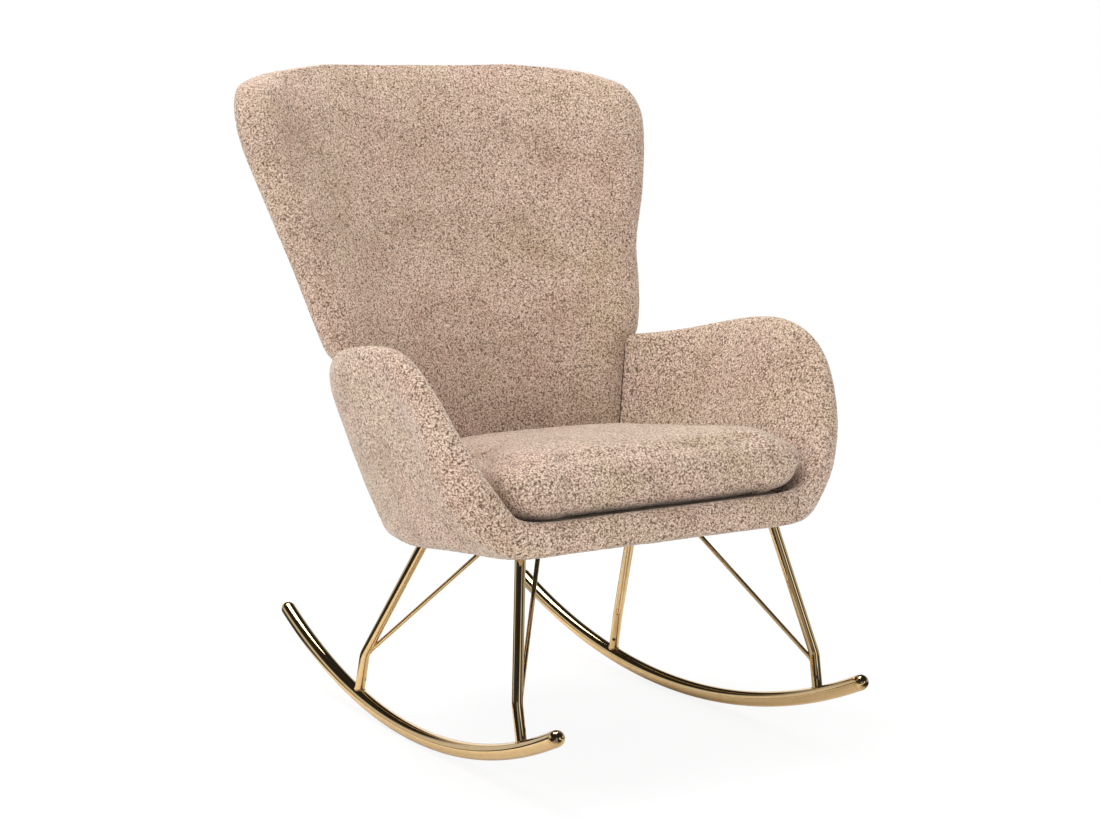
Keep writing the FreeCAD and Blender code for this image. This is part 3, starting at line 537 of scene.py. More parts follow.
def woven(name, light, dark, scale):
    """Plain weave of warp and weft threads."""
    s = Shader(name)
    bands = []
    for way in "XY":
        node = s.add("ShaderNodeTexWave", wave_type="BANDS", bands_direction=way, Scale=scale, Distortion=0.4)
        s.join(s.place, node.inputs["Vector"])
        bands.append(node.outputs["Fac"])
    fuzz = s.noise(scale * 2.0, 3.0, 0.6)
    height = s.math("ADD", s.math("MULTIPLY", *bands), s.math("MULTIPLY", fuzz, 0.3))
    colour = s.mix(s.span(height, 0.1, 1.1), dark, light)
    s.set(Base_Color=colour, Roughness=0.9, Sheen_Weight=0.15, Sheen_Roughness=0.5)
    s.bump(height, 0.5, 0.0007)
    return s.material


def felt(name, light, dark):
    """Non-woven cloth: matted fibres with a faint bonded dot pattern."""
    s = Shader(name)
    dots = s.math("MULTIPLY", s.cells(420.0, 0.0), 0.5)
    height = s.math("ADD", s.noise(430.0, 5.0, 0.7, 1.5), dots)
    s.set(Base_Color=s.mix(s.span(height, 0.4, 1.0), dark, light), Roughness=0.95)
    s.bump(height, 0.4, 0.0004)
    return s.material


FABRIC = curly_fabric("curly_fabric_back", 400.0, 1.15, (1.00, 1.01, 1.04))
# The seat's copy is tinted a little paler and cooler than the back's: painted light, for the greyer look of
# its lit tops.
FABRIC_LOW = curly_fabric("curly_fabric_seat", 360.0, 1.25, (1.01, 1.03, 1.06))
GOLD = mottled("gold_plate", (60.0, 4.0, 0.6), (0.82, 0.585, 0.300), (0.88, 0.665, 0.380), (0.3, 0.7),
               (0.25, 0.75, 0.035, 0.075), 1.0, (0.12, 0.0012), (14.0, 2.0, 0.5))
WELD = mottled("weld_gold", (420.0, 3.0, 0.6), (0.50, 0.30, 0.12), (0.84, 0.60, 0.31), None,
               (0.3, 0.7, 0.16, 0.34), 1.0, (0.6, 0.0008))
COATED = mottled("black_powder_coat", (35.0, 4.0, 0.65), (0.016, 0.016, 0.017), (0.040, 0.039, 0.038),
                 (0.35, 0.75), (0.3, 0.7, 0.42, 0.6), 0.0, (0.35, 0.0004), (700.0, 2.0, 0.5))
ZINC = mottled("zinc_plate", (240.0, 4.0, 0.6), (0.48, 0.48, 0.46), (0.70, 0.70, 0.67), None,
               (0.3, 0.7, 0.25, 0.42), 1.0, (0.2, 0.0003))
BRASS = mottled("old_brass", (300.0, 3.0, 0.6), (0.22, 0.15, 0.07), (0.52, 0.38, 0.19), (0.35, 0.65),
                (0.3, 0.7, 0.3, 0.5), 1.0, (0.2, 0.0002))
THREAD = dark_thread()
WOOD = bare_wood()
LINING = woven("lining_cloth", (0.60, 0.50, 0.40), (0.30, 0.23, 0.17), 300.0)
WEBBING = woven("webbing", (0.30, 0.23, 0.17), (0.08, 0.06, 0.04), 160.0)
TAPE = woven("zip_tape_cloth", (0.30, 0.21, 0.15), (0.14, 0.09, 0.06), 420.0)
DUST = felt("dust_cloth", (0.030, 0.030, 0.031), (0.008, 0.008, 0.008))


# Soft skin: an even pile on top of a smooth form

CURL_CELL, CURL_HEIGHT = 5.6, 0.34
FINE_CELL, FINE_HEIGHT = 3.8, 0.30
HAND_CELL, HAND_FINE_CELL, HAND_HEIGHT = 85.0, 38.0, 0.9


def add_pile(obj, seed):
    """Curly pile: each point moves along its normal by rounded bumps a few millimetres wide."""
    obj.data.update()
    points, normals = read_points(obj), read_normals(obj)
    seat = row_to_seat(points)
    curls = 1 - 2 * np.abs(noise(seat, CURL_CELL, seed))
    fine = noise(seat, FINE_CELL, seed + 1)
    hand = noise(seat, HAND_CELL, seed + 2) + 0.5 * noise(seat, HAND_FINE_CELL, seed + 3)
    move = CURL_HEIGHT * curls + FINE_HEIGHT * fine + HAND_HEIGHT * hand
    write_points(obj, points + normals * (move * MM)[:, None])


# Tub

TUB_HALF = 355.0
TUB_DEPTH = 325.0
TUB_RISE = 290.0
RIM_RADIUS = 22.0
RIM_OUTER = 30.0
RIM_INNER = 14.0
RIM_FALL = 56.0
RIM_INNER_FALL = 22.0
FACE_BOW = 0.018
CORNER_EXTRA = 16.0
CORNER_ROW = 4.6
CORNER_ROWS = 1.9
APRON_HANG = 2.0
WALL_FOOT = 52.0
BOTTOM_ROUND = 24.0
BOTTOM_TUCK = 0.29
BOARD_TOP = 23.0
SOFT_GAP = 0.4
LIP_START = 30
FOOT_WEIGHT, RIM_WEIGHT = 0.35, 0.65
STATION_BLUR = 4.0
SECTION_BLUR = 3.2
TUB_STATIONS = 300
TUB_SECTION_POINTS = 190
SHELL_COVER = 0.0024
SHELL_SEARCH = 0.014
# foot across and along, then rim centre across, along and up, as shares of the sizes above
TUB_ROWS = (
    (0.000, -0.926, 0.000, -1.003, 0.097),
    (0.366, -0.923, 0.394, -1.003, 0.097),
    (0.577, -0.905, 0.634, -0.994, 0.103),
    (0.680, -0.876, 0.754, -0.980, 0.152),
    (0.716, -0.842, 0.836, -0.959, 0.290),
    (0.726, -0.811, 0.902, -0.925, 0.438),
    (0.728, -0.772, 0.950, -0.877, 0.590),
    (0.728, -0.726, 0.986, -0.812, 0.746),
    (0.724, -0.665, 1.004, -0.714, 0.890),
    (0.720, -0.572, 1.004, -0.597, 0.966),
    (0.719, -0.434, 1.004, -0.455, 1.000),
    (0.715, -0.277, 1.007, -0.274, 1.003),
    (0.704, -0.092, 1.000, -0.089, 0.986),
    (0.685, 0.123, 0.943, 0.092, 0.955),
    (0.637, 0.326, 0.845, 0.267, 0.934),
    (0.558, 0.489, 0.735, 0.452, 0.928),
    (0.423, 0.665, 0.562, 0.668, 0.924),
    (0.225, 0.800, 0.310, 0.818, 0.924),
    (0.000, 0.846, 0.000, 0.874, 0.921),
)
BOARD_HALF = 236.0
BOARD_FRONT = -290.0
BOARD_REAR = 250.0
BOARD_TURN = -20.0
BOARD_CORNER = 18.0


def board_outline(grow):
    """Right half of the seat board's plan, from the middle of the front to the middle of the rear."""
    half, front, rear = BOARD_HALF + grow, BOARD_FRONT - grow, BOARD_REAR + grow
    turn = math.pi / 2 * np.linspace(0, 1, 9)
    corner = np.stack([
        half - BOARD_CORNER + BOARD_CORNER * np.sin(turn),
        front + BOARD_CORNER - BOARD_CORNER * np.cos(turn),
    ], -1)
    sweep = (half ** 2 + (rear - BOARD_TURN) ** 2) / (2 * half)
    end = math.asin((rear - BOARD_TURN) / sweep)
    angle = np.linspace(0, end, 60)
    side = np.stack([half - sweep + sweep * np.cos(angle), BOARD_TURN + sweep * np.sin(angle)], -1)
    return np.vstack([[[0, front]], corner, side])


def depth_to(outline, start, heading):
    """Distance from a point along a heading to the first crossing of an outline."""
    best = None
    for one, two in zip(outline, outline[1:]):
        edge = two - one
        cross = heading[0] * edge[1] - heading[1] * edge[0]
        if abs(cross) < 1e-9:
            continue
        gap = one - start
        reach = (gap[0] * edge[1] - gap[1] * edge[0]) / cross
        share = (gap[0] * heading[1] - gap[1] * heading[0]) / cross
        if -1e-6 <= share <= 1 + 1e-6 and reach > -1e-6:
            best = reach if best is None else min(best, reach)
    return best


def tub_tables(count):
    """Feet, rims and section directions of the tub's right half, at even steps along the rim."""
    before, after = [(-r[0], r[1], -r[2], r[3], r[4]) for r in (TUB_ROWS[1], TUB_ROWS[-2])]
    scale = np.array([TUB_HALF, TUB_DEPTH, TUB_HALF, TUB_DEPTH, TUB_RISE])
    fine = np.linspace(0, len(TUB_ROWS) - 1, 1801)
    rows = spline_rows(TUB_ROWS, fine, before, after) * scale
    foot_run = np.linalg.norm(np.diff(rows[:, :2], axis=0), axis=1)
    rim_run = np.linalg.norm(np.diff(rows[:, 2:], axis=0), axis=1)
    run = np.concatenate([[0], np.cumsum(FOOT_WEIGHT * foot_run + RIM_WEIGHT * rim_run)])
    where = np.interp(np.linspace(0, run[-1], count), run, fine)
    rows = spline_rows(TUB_ROWS, where, before, after) * scale
    feet = np.column_stack([rows[:, 0], rows[:, 1], np.zeros(count)])
    rims = rows[:, 2:]
    padded = np.vstack([rims[1] * MIRROR_3D, rims, rims[-2] * MIRROR_3D])
    runs = unit(padded[2:] - padded[:-2])
    outward = feet.copy()
    outward[0] = (0, -1, 0)
    outward = unit(outward)
    climb = rims - feet
    rimward = unit(climb - runs * np.sum(climb * runs, 1)[:, None])
    across = unit(np.cross(rimward, runs))
    flip = np.sum(across * outward, 1) < 0
    across[flip] *= -1
    extra = CORNER_EXTRA * np.exp(-((where - CORNER_ROW) / CORNER_ROWS) ** 2)
    return feet, rims, outward, across, rimward, extra


def tub_section(foot, rim, outward, across, rimward, extra, outline, count):
    """Closed section of the padded wall: outer face, rim, inner face, seat side, underside."""
    edge = depth_to(outline, foot[:2], -outward[:2])
    edge = (WALL_FOOT if edge is None else min(edge, WALL_FOOT)) - 0.2
    height = np.linalg.norm(rim - foot) + RIM_RADIUS
    fall = min(RIM_FALL, 0.5 * height)
    inner_fall = min(RIM_INNER_FALL, 0.45 * height)
    quarter = np.linspace(0, math.pi / 2, 14)
    crown = rim + across * (RIM_RADIUS - RIM_OUTER)
    wide = RIM_OUTER + extra
    outer = [
        crown + across * wide * math.cos(a) + rimward * (RIM_RADIUS - fall + fall * math.sin(a))
        for a in quarter
    ]
    inner = [
        crown - across * RIM_INNER * math.sin(a)
        + rimward * (RIM_RADIUS - inner_fall + inner_fall * math.cos(a))
        for a in quarter[1:]
    ]
    outer_top, inner_top = outer[0], inner[-1]
    inner_foot = foot - outward * WALL_FOOT
    face = unit(outer_top - foot)
    rounding = min(BOTTOM_ROUND, edge - 1.0)
    up_face = foot + face * min(BOTTOM_ROUND, 0.4 * height)
    under = foot - outward * rounding - (0, 0, APRON_HANG)
    middle = foot + (up_face - foot) * BOTTOM_TUCK + (under - foot) * BOTTOM_TUCK
    bow = FACE_BOW * np.linalg.norm(outer_top - up_face)
    lift = np.array([0, 0, BOARD_TOP + SOFT_GAP])
    level = (inner_top - inner_foot) * (lift[2] / inner_top[2])
    seat_edge = foot - outward * edge
    points = [
        seat_edge,
        *arc_through(under, middle, up_face, 9),
        *(up_face + (outer_top - up_face) * t + across * bow * 4 * t * (1 - t)
          for t in np.linspace(0, 1, 16)[1:-1]),
        *outer,
        *inner,
        *(inner_top + (inner_foot + level - inner_top) * t for t in np.linspace(0, 1, 12)[1:]),
        seat_edge + lift,
    ]
    return resample(np.array(points), count, closed=True)


def tub_grid(stations, count):
    tables = tub_tables(stations)
    outline = board_outline(SOFT_GAP)
    right = np.array([tub_section(*parts, outline, count) for parts in zip(*tables)])
    left = right[1:-1][::-1] * MIRROR_3D
    grid = np.concatenate([right, left])
    grid = blur(grid, STATION_BLUR)
    soft = blur(grid, SECTION_BLUR, 1)
    return grid + fade(grid[..., 2:] - LIP_START, LIP_START) * (soft - grid)


def cover_shell(obj, rows, columns):
    """Padding swells softly wherever the stiff shell inside it would come through."""
    shell = tree_of(nodes["tub_shell"])
    points, normals = read_points(obj), read_normals(obj)
    push = np.zeros(len(points))
    reach = SHELL_SEARCH + SHELL_COVER
    for number, (point, normal) in enumerate(zip(points, normals)):
        start = Vector(point + normal * SHELL_SEARCH)
        place, facing, index, distance = shell.ray_cast(start, Vector(-normal), reach)
        if place is not None and facing.dot(Vector(normal)) > 0:
            push[number] = reach - distance
    push = push.reshape(rows, columns)
    swell = push
    for _ in range(4):
        swell = np.maximum(push, blur(blur(swell, 3.0), 3.0, 1))
    write_points(obj, points + normals * blur(swell, 1.0).reshape(-1, 1))


def build_tub():
    grid = tub_grid(TUB_STATIONS, TUB_SECTION_POINTS)
    rows, columns = grid.shape[:2]
    obj = new_object("tub_cover", seat_to_row(grid).reshape(-1, 3), grid_faces(rows, columns, True, True))
    turn_outward(obj)
    cover_shell(obj, rows, columns)
    return obj


# Back

BACK_HALF = 380.0
BACK_TOP = 755.0
BACK_SETBACK = 233.0
BACK_HOLLOW = 86.0
BACK_THICK = 60.0
BACK_LEVELS = 215
BACK_RING_POINTS = 440
RING_BLUR = 2.6
# rise, half width, setback of the wing's edge, hollow and thickness, as shares of these
BACK_ROWS = (
    (0.031, 0.500, 0.494, 0.488, 0.833),
    (0.188, 0.632, 0.549, 0.640, 0.933),
    (0.305, 0.689, 0.601, 0.698, 0.967),
    (0.364, 0.722, 0.631, 0.721, 0.983),
    (0.397, 0.766, 0.639, 0.744, 1.000),
    (0.473, 0.808, 0.691, 0.791, 1.000),
    (0.583, 0.853, 0.803, 0.860, 1.000),
    (0.690, 0.920, 0.858, 0.930, 1.000),
    (0.800, 0.982, 0.940, 0.988, 1.000),
    (0.881, 1.000, 1.000, 1.000, 0.967),
    (0.936, 0.966, 1.090, 0.919, 0.850),
    (0.961, 0.892, 1.180, 0.721, 0.700),
    (0.981, 0.750, 1.275, 0.500, 0.500),
    (0.999, 0.480, 1.386, 0.233, 0.200),
)


def back_ring(level, half, setback, hollow, thick):
    """Closed plan of the back at one level, from the middle of its front round to it again."""
    radius = thick / 2
    reach = half - radius
    turn = math.atan2(2 * hollow * reach, half ** 2)
    edge = np.array([reach, setback])
    tangent = np.array([math.cos(turn), -math.sin(turn)])
    rearward = np.array([math.sin(turn), math.cos(turn)])
    shift = 0.2 * radius
    wide, short = min(1.8 * radius, 0.3 * half), 0.8 * radius
    quarter = np.linspace(0, math.pi / 2, 16)[:, None]
    rise, run = np.sin(quarter), np.cos(quarter)
    front_roll = edge + tangent * (radius - wide + wide * rise) + rearward * (shift - (radius + shift) * run)
    rear_roll = edge + tangent * (radius - short + short * run) + rearward * (shift + (radius - shift) * rise)
    roll = np.vstack([front_roll, rear_roll[1:]])
    front, rear = roll[0], roll[-1]
    middle = setback + hollow
    front_arc = arc_through(front * MIRROR, (0, middle - radius), front, 121)
    ring = np.vstack([
        front_arc[60:-1],
        roll[:-1],
        arc_through(rear, (0, middle + radius), rear * MIRROR, 121)[:-1],
        (roll * MIRROR)[::-1][:-1],
        front_arc[:60],
    ])
    ring = blur(resample(ring, BACK_RING_POINTS, closed=True), RING_BLUR)
    return np.column_stack([ring, np.full(BACK_RING_POINTS, level)])


def build_back():
    scale = np.array([BACK_TOP, BACK_HALF, BACK_SETBACK, BACK_HOLLOW, BACK_THICK])
    ends = BACK_ROWS[0], BACK_ROWS[-1]
    fine = np.linspace(0, len(BACK_ROWS) - 1, 1301)
    rows = spline_rows(BACK_ROWS, fine, *ends) * scale
    run = run_of(rows[:, [0, 1, 2]])
    where = np.interp(np.linspace(0, run[-1], BACK_LEVELS), run, fine)
    rows = spline_rows(BACK_ROWS, where, *ends) * scale
    points = seat_to_row([back_ring(*row) for row in rows]).reshape(-1, 3)
    obj = new_object("back_cover", points, tube_faces(BACK_LEVELS, BACK_RING_POINTS))
    turn_outward(obj)
    return obj


# Cushion

CUSHION_HALF = 262.0
CUSHION_FRONT = -350.0
CUSHION_REAR = 138.0
CUSHION_BOTTOM = 52.4
CUSHION_THICK = 100.0
CUSHION_INSET = 7.0
CUSHION_LEVELS = 40
CUSHION_RING_POINTS = 220
CUSHION_VOXEL = 0.005
AIR_PRESSURE = 4.0
AIR_FRAMES = 20
SWELL_CAP = 0.012
FOAM_HOLD = 0.85
CUSHION_PLAN = (
    (0.720, -1.000),
    (1.000, -0.915),
    (1.050, -0.700),
    (0.965, -0.350),
    (0.855, 0.504),
    (0.770, 0.770),
    (0.570, 0.895),
)
# rise, and how far the plan is drawn in, as shares of the thickness and the half width
CUSHION_ROWS = (
    (0.000, 0.085),
    (0.120, 0.045),
    (0.300, 0.018),
    (0.480, 0.000),
    (0.660, 0.016),
    (0.800, 0.070),
    (0.920, 0.225),
    (1.000, 0.500),
)


def cushion_ring(draw, level, inset, count):
    half = CUSHION_HALF
    length = (CUSHION_REAR - CUSHION_FRONT) / 2
    centre = (CUSHION_REAR + CUSHION_FRONT) / 2
    across = half * (1 - draw) - inset
    along = length * (1 - draw * half / length) - inset
    front, shoulder, side, waist, rear_side, haunch, rear = (
        np.array([x * across, centre + y * along]) for x, y in CUSHION_PLAN
    )
    right = np.vstack([
        [(0, front[1])],
        arc_through(front, shoulder, side, 15),
        [waist],
        arc_through(rear_side, haunch, rear, 15),
    ])
    last = arc_through(rear, (0, centre + along), rear * MIRROR, 31)[1:-1]
    ring = np.vstack([right, last, (right * MIRROR)[::-1][:-1]])
    ring = resample(ring, count, closed=True)
    return np.column_stack([ring, np.full(count, level)])


def cushion_form(inset, count, levels):
    where = np.linspace(0, len(CUSHION_ROWS) - 1, levels)
    rows = spline_rows(CUSHION_ROWS, where, CUSHION_ROWS[0], CUSHION_ROWS[-1])
    grid = [
        cushion_ring(draw, CUSHION_BOTTOM + inset + rise * (CUSHION_THICK - 2 * inset), inset, count)
        for rise, draw in rows
    ]
    return seat_to_row(grid).reshape(-1, 3), tube_faces(levels, count)


def inflate(obj, pressure, cap, frames):
    """Cloth under air pressure with no gravity, each point kept within a cap of its start. The
    foam inside lets it draw in only a little."""
    rest, normals = read_points(obj), read_normals(obj)
    cloth = obj.modifiers.new("cloth", "CLOTH")
    cloth.settings.use_pressure = True
    cloth.settings.uniform_pressure_force = pressure
    cloth.settings.effector_weights.gravity = 0
    cloth.settings.quality = 5
    cloth.settings.tension_stiffness = 15
    cloth.settings.bending_stiffness = 2.0
    cloth.point_cache.frame_start = 1
    cloth.point_cache.frame_end = frames
    for number in range(1, frames + 1):
        bpy.context.scene.frame_set(number)
    apply_modifiers(obj)
    bpy.context.scene.frame_set(1)
    shift = read_points(obj) - rest
    inward = np.minimum(0, np.sum(shift * normals, axis=1, keepdims=True))
    shift -= FOAM_HOLD * inward * normals
    reach = np.linalg.norm(shift, axis=1, keepdims=True)
    write_points(obj, rest + shift * np.minimum(1, cap / np.maximum(reach, 1e-9)))


def build_cushion(trees):
    points, faces = cushion_form(CUSHION_INSET, CUSHION_RING_POINTS, CUSHION_LEVELS)
    obj = new_object("cushion_cover", points, faces)
    remesh(obj, CUSHION_VOXEL)
    smooth_points(obj, 6)
    inflate(obj, AIR_PRESSURE, SWELL_CAP, AIR_FRAMES)
    smooth_points(obj, 2)
    seat = row_to_seat(read_points(obj))
    seat[:, 2] = np.maximum(seat[:, 2], CUSHION_BOTTOM + 0.8)
    write_points(obj, seat_to_row(seat))
    press_clear(obj, trees, 0.0012)
    smooth_points(obj, 3)
    subdivide(obj)
    obj.data.shade_smooth()
    return obj


# Tube base, in row-frame millimetres

ROCKER_RADIUS = 1029.0
ROCKER_TUBE = 12.0
ROCKER_HALF_ANGLE = 25.4
ROCKER_SPACING = 504.0
ROCKER_TOE = 2.29
LEG_TUBE = 8.0
LEG_BEND = 40.0
BRACE_ROD = 3.5
TUBE_SEGMENTS = 48
ROD_SEGMENTS = 24
END_REACH = 60
FOOT_ANGLE = {"front": 19.8, "rear": -9.78}
BEND_POINT = {"front": (266.7, -336.9, 134.4), "rear": (242.6, 157.7, 96.4)}
LEG_TOP = {"front": (226.7, -283.0), "rear": (196.0, 43.0)}
BRACE_DROP = {"front": 15.0, "rear": 3.0}
BRACE_TOP = {"front": (139.0, -195.0), "rear": (125.0, -50.0)}
VENT_RISE = 28.0
VENT_RADIUS = 2.9
VENT_CUT = (20, 4.5)
# Reach of the black plug in the vent hole: painted shade for the dark inside of the hollow tube.
VENT_SHADE_PLUG = (6.4, 4.6)
CAP_RISE = 14.0
CAP_LIP = 0.6
# along the cap's axis, and how far the surface lies in from the tube's radius
CAP_JOINT = ((-1.0, 1.4), (-0.9, 0.7), (-0.35, 0.55), (0.2, 0.1))


def turn_about_up(points, degrees):
    x, y, z = (points[..., k] for k in range(3))
    cos, sin = math.cos(math.radians(degrees)), math.sin(math.radians(degrees))
    return np.stack([x * cos - y * sin, x * sin + y * cos, z], -1)


def rocker_centre(angle, side):
    """Points on the centre line of one toed-in rocker, at angles from its lowest point."""
    turn = np.radians(angle)
    level = ROCKER_TUBE + ROCKER_RADIUS
    local = np.stack([0 * turn, -ROCKER_RADIUS * np.sin(turn), level - ROCKER_RADIUS * np.cos(turn)], -1)
    return turn_about_up(local, side * ROCKER_TOE) + (side * ROCKER_SPACING / 2, 0, 0)


def rocker_distance(points, side):
    """Distance from the rocker's centre line."""
    local = turn_about_up(points - (side * ROCKER_SPACING / 2, 0, 0), -side * ROCKER_TOE)
    ring = np.hypot(local[..., 1], local[..., 2] - ROCKER_TUBE - ROCKER_RADIUS) - ROCKER_RADIUS
    return np.hypot(local[..., 0], ring)


def polyline_distance(path):
    path = np.asarray(path, float)
    start, run = path[:-1], np.diff(path, axis=0)
    length = np.sum(run ** 2, 1)

    def distance(points):
        gap = points[:, None] - start[None]
        share = np.clip(np.sum(gap * run[None], 2) / length[None], 0, 1)
        return np.linalg.norm(gap - share[..., None] * run[None], axis=2).min(1)

    return distance


def below_seat(points):
    """How far points lie under the plane of the seat frame's floor."""
    return -row_to_seat(points * MM)[..., 2]


def slide_to(points, heading, distance, target, reach):
    """Moves points along a heading until their distance from something falls to the target."""
    low = np.zeros(len(points))
    high = np.full(len(points), reach)
    for _ in range(40):
        half = (low + high) / 2
        inside = distance(points + heading * half[:, None]) < target
        high = np.where(inside, half, high)
        low = np.where(inside, low, half)
    return points + heading * ((low + high) / 2)[:, None]


def tube_frames(path):
    """Two side directions along a path, without twist."""
    tangent = unit(np.gradient(path, axis=0))
    start = np.cross(tangent[0], (0.0, 0.0, 1.0))
    if np.linalg.norm(start) < 1e-3:
        start = np.cross(tangent[0], (0.0, 1.0, 0.0))
    side = [unit(start)]
    for direction in tangent[1:]:
        last = side[-1]
        side.append(unit(last - direction * np.dot(last, direction)))
    side = np.array(side)
    return side, np.cross(tangent, side)


def circles(side, other, segments):
    """Unit circles spanned by pairs of directions."""
    angle = round_angles(segments)[None, :, None]
    return side[:, None] * np.cos(angle) + other[:, None] * np.sin(angle)


def tube_rings(path, radius, segments):
    path = np.asarray(path, float)
    return path[:, None] + circles(*tube_frames(path), segments) * radius


def tube_object(name, rings, closed=False):
    """Tube through rings of points, closed by end faces or as a loop."""
    obj = new_object(name, rings.reshape(-1, 3) * MM, tube_faces(*rings.shape[:2], closed))
    turn_outward(obj)
    obj.data.set_sharp_from_angle(angle=math.radians(50))
    return obj


def straight(start, way, distances, radius, segments=ROD_SEGMENTS):
    """Rings of a straight tube at distances from a start."""
    return tube_rings([start + way * distance for distance in distances], radius, segments)


def cap_object(name, side, end):
    """Domed end plug with a fine joint line where it meets the tube."""
    angle = end * ROCKER_HALF_ANGLE
    base = rocker_centre(np.array([angle, angle - end * 0.2]), side)
    out = unit(base[0] - base[1])
    dome = np.radians(np.linspace(3, 88, 18))
    profile = [(along, ROCKER_TUBE - short) for along, short in CAP_JOINT]
    profile += [(CAP_LIP + CAP_RISE * math.sin(a), ROCKER_TUBE * math.cos(a)) for a in dome]
    side_way = unit(np.cross(out, (1.0, 0.0, 0.0)))
    ring = circles(side_way[None], np.cross(out, side_way)[None], TUBE_SEGMENTS)[0]
    rings = np.array([base[0] + out * along + ring * radius for along, radius in profile])
    return tube_object(name, rings)


def leg_line(kind, side):
    """Centre line of a leg: foot, bend and top, and the bend's first, middle and last points."""
    foot = rocker_centre(np.array([FOOT_ANGLE[kind]]), side)[0]
    bend = np.array(BEND_POINT[kind]) * (side, 1, 1)
    across, along = LEG_TOP[kind]
    top = seat_to_row((side * across, along, 0.0)) / MM
    down, up = unit(foot - bend), unit(top - bend)
    half = math.acos(np.clip(np.dot(down, up), -1, 1)) / 2
    tangent = LEG_BEND / math.tan(half)
    middle = bend + unit(down + up) * (LEG_BEND / math.sin(half) - LEG_BEND)
    return foot, bend, top, bend + down * tangent, middle, bend + up * tangent


def build_leg(kind, word, side):
    foot, bend, top, first, middle, last = leg_line(kind, side)
    up_low, up_high = unit(bend - foot), unit(top - bend)
    low = [foot + up_low * d for d in np.linspace(30, np.linalg.norm(first - foot), 12)[:-1]]
    high = [last + up_high * d for d in np.linspace(0, np.linalg.norm(top - last) - 12, 14)[1:]]
    path = np.array([*low, *arc_through(first, middle, last, 12), *high])
    rings = tube_rings(path, LEG_TUBE, TUBE_SEGMENTS)
    start = slide_to(rings[0], -up_low, lambda p: rocker_distance(p, side), ROCKER_TUBE, END_REACH)
    end = slide_to(rings[-1], up_high, below_seat, 0.0, END_REACH)
    rows = [start + (rings[0] - start) * share for share in (0, 0.25, 0.5, 0.75)]
    obj = tube_object(f"leg_{kind}_{word}_tube", np.array([*rows, *rings, end]))
    vent_shade = foot + up_low * VENT_RISE
    way = unit(np.array([-side, -1.0, 0.0]))
    cutter = tube_object("vent_cutter", straight(vent_shade, way, VENT_CUT, VENT_RADIUS))
    hole = obj.modifiers.new("vent_shade", "BOOLEAN")
    hole.operation = "DIFFERENCE"
    hole.object = cutter
    hole.solver = "EXACT"
    apply_modifiers(obj)
    bpy.data.objects.remove(cutter)
    obj.data.set_sharp_from_angle(angle=math.radians(50))
    # A black plug a little way inside the vent hole is painted shade: it stands for the dark inside of the
    # hollow tube.
    floor = tube_object(f"vent_{kind}_{word}", straight(vent_shade, way, VENT_SHADE_PLUG, VENT_RADIUS - 0.05))
    finish_piece(floor, CHAIR, COATED)
    return obj, start, end, path


def build_brace(kind, word, side, leg_path):
    foot, bend = leg_line(kind, side)[:2]
    start = bend - unit(bend - foot) * BRACE_DROP[kind]
    across, along = BRACE_TOP[kind]
    top = seat_to_row((side * across, along, 0.0)) / MM
    way = unit(top - start)
    leg_distance = polyline_distance(np.vstack([[foot], leg_path]))
    low = slide_to(straight(start, way, (25, 30), BRACE_ROD)[0], -way, leg_distance, LEG_TUBE, 25)
    rings = straight(start, way, np.linspace(25, np.linalg.norm(top - start) - 8, 12), BRACE_ROD)
    end = slide_to(rings[-1], way, below_seat, 0.0, 30)
    obj = tube_object(f"brace_{kind}_{word}_rod", np.array([low, *rings, end]))
    return obj, low, end


def weld_bead(name, loop, radius, seed):
    """Lumpy bead along a closed joint line."""
    loop = resample(loop, max(60, len(loop)), closed=True)
    count = len(loop)
    tangent = unit(np.roll(loop, -1, 0) - np.roll(loop, 1, 0))
    centre = loop.mean(0)
    out = unit((loop - centre) - tangent * np.sum((loop - centre) * tangent, 1)[:, None])
    ripple = 0.16 * np.sin(np.arange(count) * 2 * math.pi * 17 / count)
    lump = 1 + ripple + 0.12 * noise(loop, 3.0, seed)
    rings = loop[:, None] + circles(out, np.cross(tangent, out), 12) * (radius * lump)[:, None, None]
    return tube_object(name, rings, closed=True)


def build_base():
    angles = np.linspace(-ROCKER_HALF_ANGLE, ROCKER_HALF_ANGLE, 181)
    for word, side in SIDES:
        rings = tube_rings(rocker_centre(angles, side), ROCKER_TUBE, TUBE_SEGMENTS)
        rocker = tube_object(f"rocker_{word}_tube", rings)
        finish_piece(rocker, CHAIR, GOLD, [f"rocker_{word}"])
        for place, end in (("front", 1), ("rear", -1)):
            cap = cap_object(f"rocker_end_{place}_{word}", side, end)
            finish_piece(cap, CHAIR, GOLD, ["rocker_caps"])
        for number, kind in enumerate(("front", "rear")):
            leg, foot_loop, top_loop, path = build_leg(kind, word, side)
            finish_piece(leg, CHAIR, GOLD, [f"leg_{kind}_{word}"])
            rod, low_loop, rod_top = build_brace(kind, word, side, path)
            finish_piece(rod, CHAIR, GOLD, [f"brace_{kind}_{word}"])
            seed = 40 + 4 * number + (side > 0)
            for part, loop, radius in (
                ("foot", foot_loop, 1.2),
                ("top", top_loop, 0.9),
                ("brace", low_loop, 0.9),
                ("brace_top", rod_top, 0.7),
            ):
                bead = weld_bead(f"weld_{kind}_{word}_{part}", loop, radius, seed)
                finish_piece(bead, CHAIR, WELD)


# Seams and stitches

WAVER_CELL, WAVER = 9.0, 0.00035
ARM_SEAM_SHADE, PANEL_SEAM, DECK_STITCH = 1.3, 0.8, 0.45
ARM_SEAM_SPAN = (64.0, 292.0)
PANEL_SHARE = 0.90
# half widths and heights of the panel seam's turn at the top, as shares of the back's
PANEL_TOP = ((0.83, 0.953), (0.60, 0.968), (0.35, 0.976), (0.0, 0.980))


